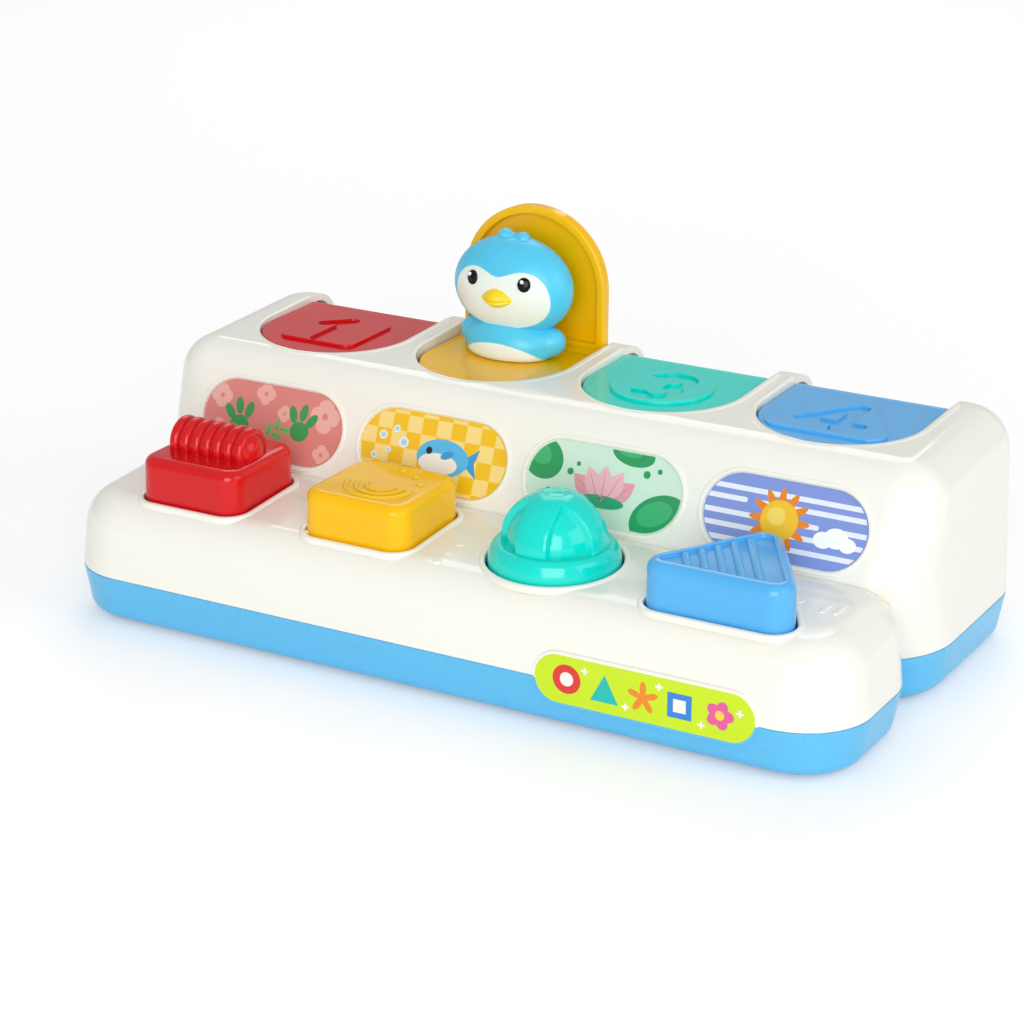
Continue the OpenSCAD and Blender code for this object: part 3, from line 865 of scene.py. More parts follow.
@dataclass(frozen=True)
class MouldedPlastic:
    """ABS from a polished steel mould: even colour under a clear gloss with a faint orange peel."""

    name: str
    colour: str
    roughness: float = 0.2
    peel: float = 0.006
    shade: float = 0.965
    glow: float = 0.0
    shine: float = 0.5

    def make(self) -> Material:
        """Builds the material.

        Returns:
            The material: colour that drifts a little over 45 mm, as resin flows, gloss that varies
            with handling over 9 mm, an orange peel 5 mm wide over a grain of 0.6 mm, and light that
            goes 3 mm deep where the plastic glows.
        """
        made, tree, shader, coords = start_material(self.name)
        hue, _ = mottle(tree, coords, (45, 3.0), linear(self.colour, self.shade), linear(self.colour))
        rub = add_node(tree, "ShaderNodeTexNoise", {"Scale": per_mm(9), "Detail": 4.0}, {"Vector": coords})
        low, full = self.roughness - 0.03, self.roughness + 0.05
        limits = {"From Min": 0.3, "From Max": 0.75, "To Min": low, "To Max": full}
        gloss = add_node(tree, "ShaderNodeMapRange", limits, {"Value": rub.outputs[0]})
        links = {"Base Color": hue, "Roughness": gloss.outputs[0]}
        wire(tree, shader, {"IOR": 1.52, "Specular IOR Level": self.shine}, links)
        if self.glow:
            through = {"Subsurface Radius": (1.0, 0.42, 0.03), "Subsurface Scale": 3.0 * MM}
            wire(tree, shader, {"Subsurface Weight": self.glow, **through})
        waves(tree, shader, coords, ((5.0, self.peel), (0.6, self.peel * 0.12)))
        return made


@dataclass(frozen=True)
class PaintedVinyl:
    """Soft vinyl animal, satin from its mould, with sprayed patches that follow the mesh's attribute."""

    name: str
    colour: str
    patch: str
    roughness: float = 0.34

    def make(self) -> Material:
        """Builds the material.

        Returns:
            The material: the patch is sprayed where the attribute is above 0, with an edge 0.3 mm
            wide that wanders a little, over a fine satin grain of 0.4 mm.
        """
        made, tree, shader, coords = start_material(self.name)
        mask = add_node(tree, "ShaderNodeAttribute", {"attribute_name": "patch"})
        wander = add_node(tree, "ShaderNodeTexNoise", {"Scale": per_mm(1.5)}, {"Vector": coords})
        links = {0: wander.outputs[0], 2: mask.outputs["Fac"]}
        edge = add_node(tree, "ShaderNodeMath", {"operation": "MULTIPLY_ADD", 1: 0.12}, links)
        limits = {"interpolation_type": "SMOOTHSTEP", "From Min": -0.1, "From Max": 0.22}
        cover = add_node(tree, "ShaderNodeMapRange", limits, {"Value": edge.outputs[0]})
        ground, _ = mottle(tree, coords, (14, 3.0), linear(self.colour, 0.93), linear(self.colour))
        links = {"Factor": cover.outputs[0], 6: ground}
        coat = add_node(tree, "ShaderNodeMix", {"data_type": "RGBA", 7: linear(self.patch)}, links)
        through = {"Subsurface Weight": 0.05, "Subsurface Radius": (0.002, 0.001, 0.0008)}
        values = {"Roughness": self.roughness, "IOR": 1.53, **through}
        wire(tree, shader, values, {"Base Color": coat.outputs[2]})
        waves(tree, shader, coords, ((3.0, 0.004), (0.4, 0.0012)))
        return made


@dataclass(frozen=True)
class PrintedFilm:
    """Laminated sticker: flat inks from the mesh's colours under a clear film, a little uneven."""

    name: str = "printed_film"
    roughness: float = 0.22

    def make(self) -> Material:
        """Builds the material.

        Returns:
            The material: inks with a print grain, drawn 0.35 mm coarse where the real screen is
            0.15 mm, and a film that waves over 12 mm.
        """
        made, tree, shader, coords = start_material(self.name)
        ink = add_node(tree, "ShaderNodeAttribute", {"attribute_name": "ink"})
        grain = {"Scale": per_mm(0.35), "Detail": 1.0}
        screen = add_node(tree, "ShaderNodeTexNoise", grain, {"Vector": coords})
        limits = {"To Min": 0.94, "To Max": 1.0}
        tone = add_node(tree, "ShaderNodeMapRange", limits, {"Value": screen.outputs[0]})
        settings = {"data_type": "RGBA", "blend_type": "MULTIPLY", "Factor": 1.0}
        links = {6: ink.outputs["Color"], 7: tone.outputs[0]}
        print_ink = add_node(tree, "ShaderNodeMix", settings, links)
        wire(tree, shader, {"Roughness": self.roughness, "IOR": 1.5}, {"Base Color": print_ink.outputs[2]})
        waves(tree, shader, coords, ((12.0, 0.012), (1.2, 0.0006)))
        return made


@dataclass(frozen=True)
class PlatedSteel:
    """Zinc-plated steel wire and screws: pale metal with fine lines from drawing."""

    name: str = "zinc_plated_steel"
    colour: str = "#C4C6C8"
    roughness: float = 0.3

    def make(self) -> Material:
        """Builds the material.

        Returns:
            The material: plating that varies over 2 mm and scratches 0.3 mm apart.
        """
        made, tree, shader, coords = start_material(self.name)
        hue, bloom = mottle(tree, coords, (2, 4.0), linear(self.colour, 0.8), linear(self.colour))
        limits = {"To Min": self.roughness - 0.08, "To Max": self.roughness + 0.12}
        gloss = add_node(tree, "ShaderNodeMapRange", limits, {"Value": bloom})
        wire(tree, shader, {"Metallic": 1.0}, {"Base Color": hue, "Roughness": gloss.outputs[0]})
        waves(tree, shader, coords, ((0.3, 0.001),))
        return made


@dataclass(frozen=True)
class FootRubber:
    """Thermoplastic rubber: dark, dull, with a pebbled skin that holds a little dust."""

    name: str = "foot_rubber"
    colour: str = "#2E3133"
    dusty: str = "#4A4D4F"

    def make(self) -> Material:
        """Builds the material.

        Returns:
            The material: dust specks 0.5 mm wide over a pebble of 0.8 mm.
        """
        made, tree, shader, coords = start_material(self.name)
        hue, _ = mottle(tree, coords, (0.5, 5.0), linear(self.colour), linear(self.dusty))
        wire(tree, shader, {"Roughness": 0.78}, {"Base Color": hue})
        waves(tree, shader, coords, ((0.8, 0.02),))
        return made


@dataclass
class Palette:
    """All finishes of the toy, made once."""

    white: Material = field(init=False)
    inner: Material = field(init=False)
    base: Material = field(init=False)
    steel: Material = field(init=False)
    rubber: Material = field(init=False)
    film: Material = field(init=False)
    eye: Material = field(init=False)
    # painted highlight: plain white for the dot on each eye that stands for the lamps' reflection
    glint: Material = field(init=False)
    beak: Material = field(init=False)
    buttons: dict[Column, Material] = field(init=False)
    vinyl: dict[str, Material] = field(init=False)

    def __post_init__(self) -> None:
        """Makes every material."""
        self.white = MouldedPlastic("glossy_white_abs", "#F5F4EA", 0.11, 0.004, 0.985).make()
        self.inner = MouldedPlastic("plain_white_abs", "#EFEFE8", 0.42, 0.01).make()
        self.base = MouldedPlastic("light_blue_abs", "#5CBEEE", 0.26).make()
        self.steel = PlatedSteel().make()
        self.rubber = FootRubber().make()
        self.film = PrintedFilm().make()
        self.eye = MouldedPlastic("black_gloss_enamel", "#08080A", 0.08, 0.002, 0.9, shine=0.22).make()
        # painted highlight: plain white, for the dot on each eye that stands for a reflection
        self.glint = MouldedPlastic("white_gloss_enamel", "#FFFFFF", 0.1, 0.002).make()
        self.beak = PaintedVinyl("yellow_vinyl", "#FFDC0A", "#C98A08").make()
        hues = {  # colour, glow and shine
            Column.RED: ("#D40E16", 0.0, 0.36),
            Column.YELLOW: ("#FFC200", 0.3, 0.32),
            Column.TEAL: ("#00DDCE", 0.0, 0.45),
            Column.BLUE: ("#54B2F0", 0.0, 0.45),
        }
        self.buttons = {
            c: MouldedPlastic(c.tag + "_abs", hue, 0.12, glow=glow, shine=shine).make()
            for c, (hue, glow, shine) in hues.items()
        }
        self.vinyl = {
            "dinosaur": PaintedVinyl("green_vinyl", "#3FA35F", "#2B7F49").make(),
            "dinosaur_pale": PaintedVinyl("pale_green_vinyl", "#9CCB94", "#3FA35F").make(),
            "penguin": PaintedVinyl("sky_blue_vinyl", "#52CDF2", "#EAF4EE").make(),
            "hippo": PaintedVinyl("pink_vinyl", "#E9A3A0", "#C9706F").make(),
            "cream": PaintedVinyl("cream_vinyl", "#F6E9D8", "#C9706F").make(),
            "lion": PaintedVinyl("lion_yellow_vinyl", "#F5C13B", "#F8F0DC").make(),
            "mane": PaintedVinyl("orange_vinyl", "#EF8A22", "#D86E14").make(),
        }


# ---- case ----


@dataclass
class Case:
    """White housing over a light blue base, on rubber feet, screwed from below."""

    palette: Palette
    wall: float = 2.5
    deck_r: float = 24.0
    deck_back: float = -66.0
    box_front: float = -72.0
    box_front_r: float = 31.0
    box_rear_r: float = 22.0
    top_front_r: float = 16.0
    top_rear_r: float = 17.0
    deck_fillet: float = 13.0
    box_fillet: float = 14.0
    shoulder_back: float = 18.0
    top_fall: float = 1.4
    floor_z: float = 4.5
    foot_h: float = 1.5
    pad_z: float = 6.5
    rack_screw_y: float = 8.2
    screw_r: float = 1.25
    boss_r: float = 4.5
    post_top: float = 32.0
    strip_pad: tuple[float, float] = (79.0, 18.4)
    rim_middle: float = 30.4
    bosses: tuple[tuple[float, float], ...] = (
        (-134, -100),
        (134, -100),
        (-134, -24),
        (134, -24),
        (-33, 17),
        (33, 17),
    )

    def post(self, x: float, y: float, profile: Profile, step: int = 3) -> list[Vector]:
        """Points of a turned corner post."""
        turns = [math.radians(a) for a in range(0, 360, step)]
        return [Vector((x + r * math.cos(a), y + r * math.sin(a), z)) for r, z in profile for a in turns]

    def foot(self, r: float, t: float) -> Profile:
        """Lower edge of a corner post at the seam, broken on the outside and plain on the inside."""
        low = LAYOUT.seam_z - t
        return [(r, low)] if t else [(r - 0.5, low), (r - 0.15, low + 0.2), (r, low + 0.6)]

    def deck_lobe(self, t: float = 0.0) -> Form:
        """Deck part of the housing.

        Args:
            t: Wall that it is drawn in by, for its inside.

        Returns:
            The closed form.
        """
        lay, f = LAYOUT, self.deck_fillet - t
        shoulder = self.deck_r - 1.5 - t - f
        spots: list[Vector] = []
        for s in (-1, 1):
            for y in (lay.front_y + self.deck_r, self.deck_back - self.deck_r):
                rise = arc(shoulder, lay.deck_at(y) - t - f, f, 0, 90, 8 if t else 18)
                outside = self.foot(self.deck_r - t, t) + rise
                spots += self.post(s * (lay.half_len - self.deck_r), y, outside, 6 if t else 3)
        return hull(spots)

    def box_lobe(self, t: float = 0.0) -> Form:
        """Rear box of the housing, its top falling a little to the front.

        Args:
            t: Wall that it is drawn in by, for its inside.

        Returns:
            The closed form.
        """
        lay, f, step = LAYOUT, self.box_fillet, 6 if t else 3
        slope = math.radians(lay.face_slope)
        front_top = lay.box_top - self.top_fall
        arc_z = front_top - f * (1 - math.cos(slope))
        top_front = lay.face_at(arc_z) - f * (1 - math.sin(slope))
        low_posts = (
            (self.box_front_r, self.box_front + self.box_front_r),
            (self.box_rear_r, lay.rear_y - self.box_rear_r),
        )
        top_posts = (
            (self.top_front_r, top_front + self.top_front_r, front_top),
            (self.top_rear_r, self.shoulder_back - self.top_rear_r, lay.box_top),
        )
        spots: list[Vector] = []
        for s in (-1, 1):
            for r, y in low_posts:
                side = self.foot(r - t, t) + [(r - t, lay.seam_z + 1 - t)]
                spots += self.post(s * (lay.half_len - r), y, side, step)
            middle = lay.face_at(lay.deck_z) + 20
            spots += self.post(s * (lay.half_len - 21), middle, [(20 - t, lay.deck_z - t)], step)
            for r, y, top in top_posts:
                rise = [(r - t, top - f - 1)] + arc(r - f, top - f, f - t, 0, 90, 8 if t else 18)
                spots += self.post(s * (lay.half_len - 0.5 - r), y, rise, step)
        return hull(spots)

    def base_lobe(self, front: float, back: float, r_front: float, r_back: float, t: float = 0.0) -> Form:
        """One lobe of the base.

        Args:
            front: Its front in Y.
            back: Its back in Y.
            r_front: Radius of its front corners.
            r_back: Radius of its rear corners.
            t: Wall that it is drawn in by, for its inside.

        Returns:
            The closed form.
        """
        z0 = self.foot_h + (3.0 if t else 0.0)
        z1 = LAYOUT.seam_z + (1.0 if t else 0.0)
        spots: list[Vector] = []
        for s in (-1, 1):
            for r, y in ((r_front, front + r_front), (r_back, back - r_back)):
                low = arc(r - 2 - t - 5, z0 + 5, 5, -90, 0, 4 if t else 12)
                top: Profile = [(r - t, z1)] if t else [(r, z1 - 0.5), (r - 0.12, z1 - 0.15), (r - 0.45, z1)]
                spots += self.post(s * (LAYOUT.half_len - r), y, low + top, 6 if t else 3)
        return hull(spots)

    def screw_spots(self) -> list[tuple[float, float]]:
        """Where the case screws are: the bosses, then the rack, then the plate."""
        rack = [(m * LAYOUT.pitch, self.rack_screw_y) for m in range(-2, 3)]
        plate = [(x, -LAYOUT.button_row) for x in (-128, -66, 0, 66, 128)]
        return list(self.bosses) + rack + plate

    def label_pad(self, upper: bool) -> Form:
        """Half of the raised pad behind the front label.

        Args:
            upper: The half above the seam, else the one below it.

        Returns:
            The closed form.
        """
        lay = LAYOUT
        middle = Vector((lay.strip_x, lay.strip_z, 0))
        seam = [Vector((200, lay.seam_z)), Vector((-200, lay.seam_z))]
        kept = clip([p + middle for p in pill(*self.strip_pad).ring()], seam[::-1] if upper else seam)
        rings = []
        for draw, out in ((0.0, -2.0), (0.0, 0.15), (0.12, 0.32), (0.4, 0.4)):
            drawn = [p - (p - middle).normalized() * draw for p in kept]
            rings.append([Vector((p.x, lay.front_y - out, p.y)) for p in drawn])
        return Form().loft(rings)

    def base_posts(self) -> list[Object]:
        """Bosses to the seam and low pads on the floor of the base, as tools."""
        low = self.floor_z - 0.5
        made = []
        for k, (x, y) in enumerate(self.screw_spots()):
            boss = k < len(self.bosses)
            r, high = (self.boss_r, LAYOUT.seam_z) if boss else (self.boss_r + 1.0, self.pad_z)
            made.append(Form().plate(disc(r, 6), low, high, 0.1, 0.4).build("tool", LAYOUT.at(x, y, 0)))
        return made

    def build_base(self) -> None:
        """Base tray with its bosses, pads and screw pockets."""
        lay, blue = LAYOUT, self.palette.base
        lobes = [
            (lay.front_y, self.deck_back, self.deck_r, self.deck_r),
            (self.box_front, lay.rear_y, self.box_front_r, self.box_rear_r),
        ]
        tray = self.base_lobe(*lobes[0]).build("base_shell", None, [blue])
        carve(tray, [self.base_lobe(*lobes[1]).build("tool")], Cut.ADD)
        hollows = [self.base_lobe(*lobe, self.wall).build("tool") for lobe in lobes]
        hollows.append(box_form((-114, -90, self.floor_z), (114, -40, 40)).build("tool"))
        carve(tray, hollows)
        carve(tray, self.base_posts(), Cut.ADD)
        pocket: Profile = [(3.5, 1.0), (3.2, 1.9), (3.2, 4.0), (1.6, 4.0), (1.6, 30.0)]
        pockets = [Form().stack(disc(0, 10), pocket) for _ in self.screw_spots()]
        carve(tray, [f.build("tool", lay.at(x, y, 0)) for f, (x, y) in zip(pockets, self.screw_spots())])
        tray = join("base_shell_light_blue", [tray, self.label_pad(False).build("pad", None, [blue])])
        place(tray, "housing", "base_blue", "base_tray")

    def screw(self, length: float, head: float = 2.0) -> Form:
        """Pan-head screw, tip up, z = 0 under its head, with a cross recess.

        Args:
            length: Length under the head.
            head: Height of the head.

        Returns:
            The form.
        """
        crown: Profile = [(1.1, -head), (2.0, -head + 0.1), (2.6, -head + 0.5), (2.8, -head + 1.0)]
        form = Form().stack(disc(0, 12), crown + [(2.8, -0.1), (2.7, 0)])
        blade = box_form((-1.5, -0.32, -head - 0.01), (1.5, 0.32, -head + 0.02))
        form.add(blade, turn_z(0)).add(blade, turn_z(90))
        pitch = 1.1
        thread: Profile = []
        for k in range(int(length / pitch)):
            thread += [(1.0, k * pitch + 0.1), (1.25, k * pitch + 0.5), (1.0, k * pitch + 0.9)]
        return form.stack(disc(0, 20), [(1.0, -0.2)] + thread + [(0.3, length)])

    def build_fasteners(self) -> None:
        """Sixteen case screws and ten feet."""
        spots = [Vector((x, y, self.foot_h + 2.5)) for x, y in self.screw_spots()]
        screws = repeat("case_screws_steel", self.screw(23), spots, self.palette.steel, None, 80)
        place(screws, "housing", "steel", "case_screws")
        foot = Form().plate(disc(5.0, 6), 0, self.foot_h, 0.4, 0.1)
        spots = [Vector((x, y, 0)) for x in (-126, -64, 0, 64, 126) for y in (-116, 12)]
        feet = repeat("rubber_feet_dark", foot, spots, self.palette.rubber)
        place(feet, "housing", "rubber_foot", "rubber_feet")

    def rim_base(self, y: float) -> float:
        """Height that a rim's section is measured from, at y from the hinge."""
        return LAYOUT.box_top - 0.6 + 0.038 * y

    def flap_rim(self) -> Form:
        """Raised rim round a flap opening, round at its rear ends and lower towards the front.

        Returns:
            The form, in the level frame of a hinge.
        """
        middle, bend = self.rim_middle, LAYOUT.open_half - LAYOUT.open_len
        leg = [(middle, -y * 5.0) for y in range(5)]
        turns = [math.radians(180 + k * 3) for k in range(61)]
        path = [(-x, y) for x, y in leg]
        path += [(middle * math.cos(a), bend + middle * math.sin(a)) for a in turns]
        path += leg[::-1]
        outside: Profile = [(1.4, -3.0), (1.4, 0.2)] + arc(0.5, 0.3, 0.9, 0, 90, 4)
        section = outside + arc(-0.5, 0.3, 0.9, 90, 180, 4) + [(-1.46, 0.2), (-1.46, -3.0)]
        rings: list[Ring] = []
        for k, (x, y) in enumerate(path):
            ax, ay = path[max(k - 1, 0)]
            bx, by = path[min(k + 1, len(path) - 1)]
            along = Vector((bx - ax, by - ay, 0)).normalized()
            out = Vector((along.y, -along.x, 0))
            rings.append([Vector((x, y, self.rim_base(y))) + out * g + Vector((0, 0, z)) for g, z in section])
        form = Form().loft([ring[::-1] for ring in rings])
        for s in (-1, 1):
            knob = Form().stack(disc(0, 12), outside + [(0.01, 1.2)])
            form.add(knob, shift(s * middle, 0, self.rim_base(0)))
        return form

    def ring_round(self, outline: Outline, inner: float, outer: float, height: float, r: float) -> Form:
        """Raised band round an outline, rounded on top.

        Args:
            outline: The outline.
            inner: How far the band's inside lies from it.
            outer: How far its outside lies from it.
            height: Height of the band, over a root 1 mm deep.
            r: Radius of its outer edge.

        Returns:
            The form.
        """
        q = r * 0.8
        rise = arc(outer - r, height - r, r, 0, 90, 4) + arc(inner + q, height - q, q, 90, 180, 4)
        return Form().stack(outline, [(inner, -1.0), (outer, -1.0)] + rise, 0, True)

    def marks(self) -> Form:
        """Small raised dots and bars on the deck."""
        form = Form()
        dot = Form().stack(disc(1.6, 10), [(0, -0.5), (0, 0.3)] + arc(-0.5, 0.3, 0.5, 10, 90, 4))
        for x, y in ((-0.5, -108.2), (-0.5, -115.6), (-0.5, -123.0), (117, -98.4)):
            form.add(dot, LAYOUT.deck(x, y))
        for x, y, length, turn in ((126.6, -100, 7.5, 88), (131, -99.2, 8, 86), (-58, -122, 16, 0)):
            form.add(Form().plate(pill(length, 2.0), -0.5, 0.8, 0.1, 0.45), LAYOUT.deck(x, y) @ turn_z(turn))
        return form

    def openings(self, column: Column) -> list[Object]:
        """Tools that open the housing for a flap, its tail and its button, and sink its label."""
        lay, x = LAYOUT, column.x
        plan = d_shape(lay.open_half, lay.open_len, 0, 0.3)
        lid = Form().loft([to_front(plan.ring(0, z)) for z in (66.5, 96.5)])
        tail = box_form((x - lay.open_half, -1, 72.5), (x + lay.open_half, 59, 102.5))
        width, height = (size + 0.8 for size in lay.label)
        return [
            lid.build("tool", lay.at(x, 0, 0)),
            tail.build("tool"),
            prism(Button.outline(column), 30, 60, 0.8).build("tool", lay.button(column)),
            prism(pill(width, height), -0.6, 1.4).build("tool", lay.face(x)),
        ]

    def trims(self) -> Form:
        """Rims, bands, marks and inside posts that stand on the shell, in the frame."""
        lay, trim = LAYOUT, Form()
        for column in Column:
            trim.add(self.flap_rim(), shift(column.x, lay.hinge_y, 0))
            rim = self.ring_round(Button.outline(column), 0.74, 2.9, 1.2, 0.9)
            trim.add(rim, lay.deck(column.x, -lay.button_row))
            trim.add(self.ring_round(pill(*lay.label), 0.35, 1.8, 0.5, 0.45), lay.face(column.x))
        return trim.add(self.marks()).add(self.inner_posts(), shift(0, lay.hinge_y, 0))

    def inner_posts(self) -> Form:
        """Screw posts inside the housing, each tied to the nearest wall."""
        form = Form()
        z0, z1, bore, r = LAYOUT.seam_z, self.post_top, self.screw_r, self.boss_r
        loop: Profile = [(bore, z0), (r - 0.4, z0), (r, z0 + 0.4), (r, z1 - 0.4), (r - 0.4, z1), (bore, z1)]
        side_wall, rear_wall = LAYOUT.half_len - 1.2, LAYOUT.rear_y - 4.2
        for x, y in self.bosses:
            form.add(Form().stack(disc(0, 8), loop, 0, True), shift(x, y, 0))
            if y > 0:
                form.add(box_form((x - 1, y + 4, z0), (x + 1, rear_wall, z1)))
            else:
                near, far = (x + 4, side_wall) if x > 0 else (-side_wall, x - 4)
                form.add(box_form((near, y - 1, z0), (far, y + 1, z1)))
        return form

    def build_housing(self) -> None:
        """Housing with its openings, rims, label recesses and inside posts."""
        white = self.palette.white
        shell = self.deck_lobe().build("housing_shell", None, [white])
        carve(shell, [self.box_lobe().build("tool")], Cut.ADD)
        carve(shell, [self.deck_lobe(self.wall).build("tool"), self.box_lobe(self.wall).build("tool")])
        shelves = [box_form((c.x - 30, 6.2, 70.0), (c.x + 30, 16.6, 72.5)).build("tool") for c in Column]
        carve(shell, shelves, Cut.ADD)
        carve(shell, [tool for column in Column for tool in self.openings(column)])
        trim = self.trims().build("trim", Matrix.Identity(4), [white])
        pad = self.label_pad(True).build("pad", None, [white])
        place(join("housing_shell_glossy_white", [shell, trim, pad]), "housing", "white_shell", "housing")

    def build(self) -> None:
        """Builds the whole case."""
        self.build_base()
        self.build_fasteners()
        self.build_housing()


# ---- flaps ----


class Digit(Enum):
    """The number of each flap, as straight strokes and arcs at half their size."""

    RED = (((0, -6.3, 0, 5.6), (0, 5.6, -3.6, 2.2)), ())
    YELLOW = (((2.8, 0.6, -3.4, -6), (-3.4, -6, 3.6, -6)), ((0, 2.6, 3.4, -35, 180),))
    TEAL = ((), ((0.5, 3.1, 3.1, -90, 170), (0.5, -3.1, 3.1, -170, 90)))
    BLUE = (((1.7, -6.3, 1.7, 5.6), (1, 5.6, -5.5, -3.5), (-5.5, -3.5, 4.8, -3.5)), ())

    def tools(self, frame: Matrix, half: float = 2.8) -> list[Object]:
        """Shells that cut the number.

        Args:
            frame: Frame of the badge.
            half: Half width of the strokes.

        Returns:
            The shells.
        """
        straight, bent = self.value
        low, high = 0.15, 3.0
        made = []
        for x0, y0, x1, y1 in straight:
            bar = Outline(((2 * x0, 2 * y0, half), (2 * x1, 2 * y1, half)), 8.0)
            made.append(prism(bar, low, high).build("tool", frame))
        for x, y, r, a0, a1 in bent:
            outer = arc(2 * x, 2 * y, 2 * r + half, a0, a1, 26)
            inner = arc(2 * x, 2 * y, 2 * r - half, a1, a0, 26)
            rings = [[Vector((px, py, z)) for px, py in outer + inner] for z in (low, high)]
            made.append(Form().loft(rings).build("tool", frame))
        return made


@dataclass
class Flap:
    """L-shaped rocker: a lid with a raised badge, and the seat of an animal, on one barrel."""

    palette: Palette
    column: Column
    lid_half: float = 28.4
    lid_len: float = 54.0
    lid_t: float = 4.8
    hollow: float = 3.0
    hollow_start: float = 6.6
    seat_half: float = 27.8
    seat_len: float = 53.4
    spring_r: float = 4.1
    spring_half: float = 6.2
    barrel_r: float = 1.6

    @property
    def frame(self) -> Matrix:
        """Frame of the hinge, lid up +Z."""
        return LAYOUT.hinge(self.column)

    @property
    def look(self) -> Material:
        """Plastic of the flap."""
        return self.palette.buttons[self.column]

    def badge_plan(self) -> Outline:
        """Outline of the badge, which repeats the shape of the button."""
        if self.column is Column.TEAL:
            return disc(18, 3)
        if self.column is Column.BLUE:
            return Outline(tuple((x * 0.86, y * 0.86, r * 0.86) for x, y, r in three_sided(7).circles))
        return rounded_square(15.5, 4)

    def spring_way(self, leg: bool) -> list[Object]:
        """Shells that cut the way of the torsion spring, with or without that of its leg."""
        r, half = self.spring_r, self.spring_half
        tools = [prism(disc(r, 5), -half, half).build("tool", self.frame @ turn_y(90))]
        if leg:
            tools.append(box_form((-half, -7, -7), (half, 7, -1)).build("tool", self.frame))
        return tools

    def lid(self) -> Object:
        """Lid, hollow behind."""
        plan = d_shape(self.lid_half, self.lid_len, 0, 1.2)
        inside = d_shape(self.lid_half - 3, self.lid_len - 9.6, self.hollow_start, 1.2)
        t, r, q = self.lid_t, 0.8, 0.5
        rings = [plan.ring(g, z) for g, z in arc(-r, r, r, -90, 0) + arc(-r, t - r, r, 0, 90)]
        wall = arc(q, t - q, q, 90, 180, 3) + arc(-q, t - self.hollow + q, q, 0, -90, 3)
        rings += [inside.ring(g, z) for g, z in wall]
        side = self.frame @ shift(0, t, 0) @ turn_x(90)
        return carve(Form().loft(rings).build("lid", side, [self.look]), self.spring_way(True))

    def seat(self) -> Object:
        """Seat, with the hole of the animal's screw."""
        plan = d_shape(self.seat_half, self.seat_len, 0, 1.0)
        rings = [to_front(plan.ring(g, z)) for g, z in edge_profile(0.8, LAYOUT.seat_top, 0.7, 0.7)]
        made = Form().loft(rings).build("seat", self.frame, [self.look])
        tools = self.spring_way(False)
        tools.append(prism(disc(1.6, 12), -2, 6).build("tool", self.frame @ shift(0, LAYOUT.figure_y, 0)))
        return carve(made, tools)

    def barrel(self) -> Object:
        """Hinge barrel, bored for the pin."""
        x1, e, r = self.lid_half, 0.6, self.barrel_r
        side = arc(self.lid_t - e, e - x1, e, -90, 0, 3) + arc(self.lid_t - e, x1 - e, e, 0, 90, 3)
        form = Form().stack(disc(0, 6), [(r, -x1)] + side + [(r, x1)], 0, True)
        return carve(form.build("barrel", self.frame @ turn_y(90), [self.look]), self.spring_way(True))

    def badge(self) -> Object:
        """Raised badge, with the number cut in."""
        front = self.frame @ shift(0, self.lid_t, self.lid_len / 2 + 1) @ turn_x(-90)
        made = Form().plate(self.badge_plan(), -0.6, 1.1, 0.1, 0.5).build("badge", front, [self.look])
        return carve(made, Digit[self.column.name].tools(front))

    def build(self) -> None:
        """Builds the flap."""
        tag = self.column.tag
        made = join(f"flap_{tag}_moulding", [self.lid(), self.seat(), self.barrel(), self.badge()])
        place(made, f"flap_{tag}", f"{tag}_plastic", f"flap_{tag}")


# ---- buttons ----


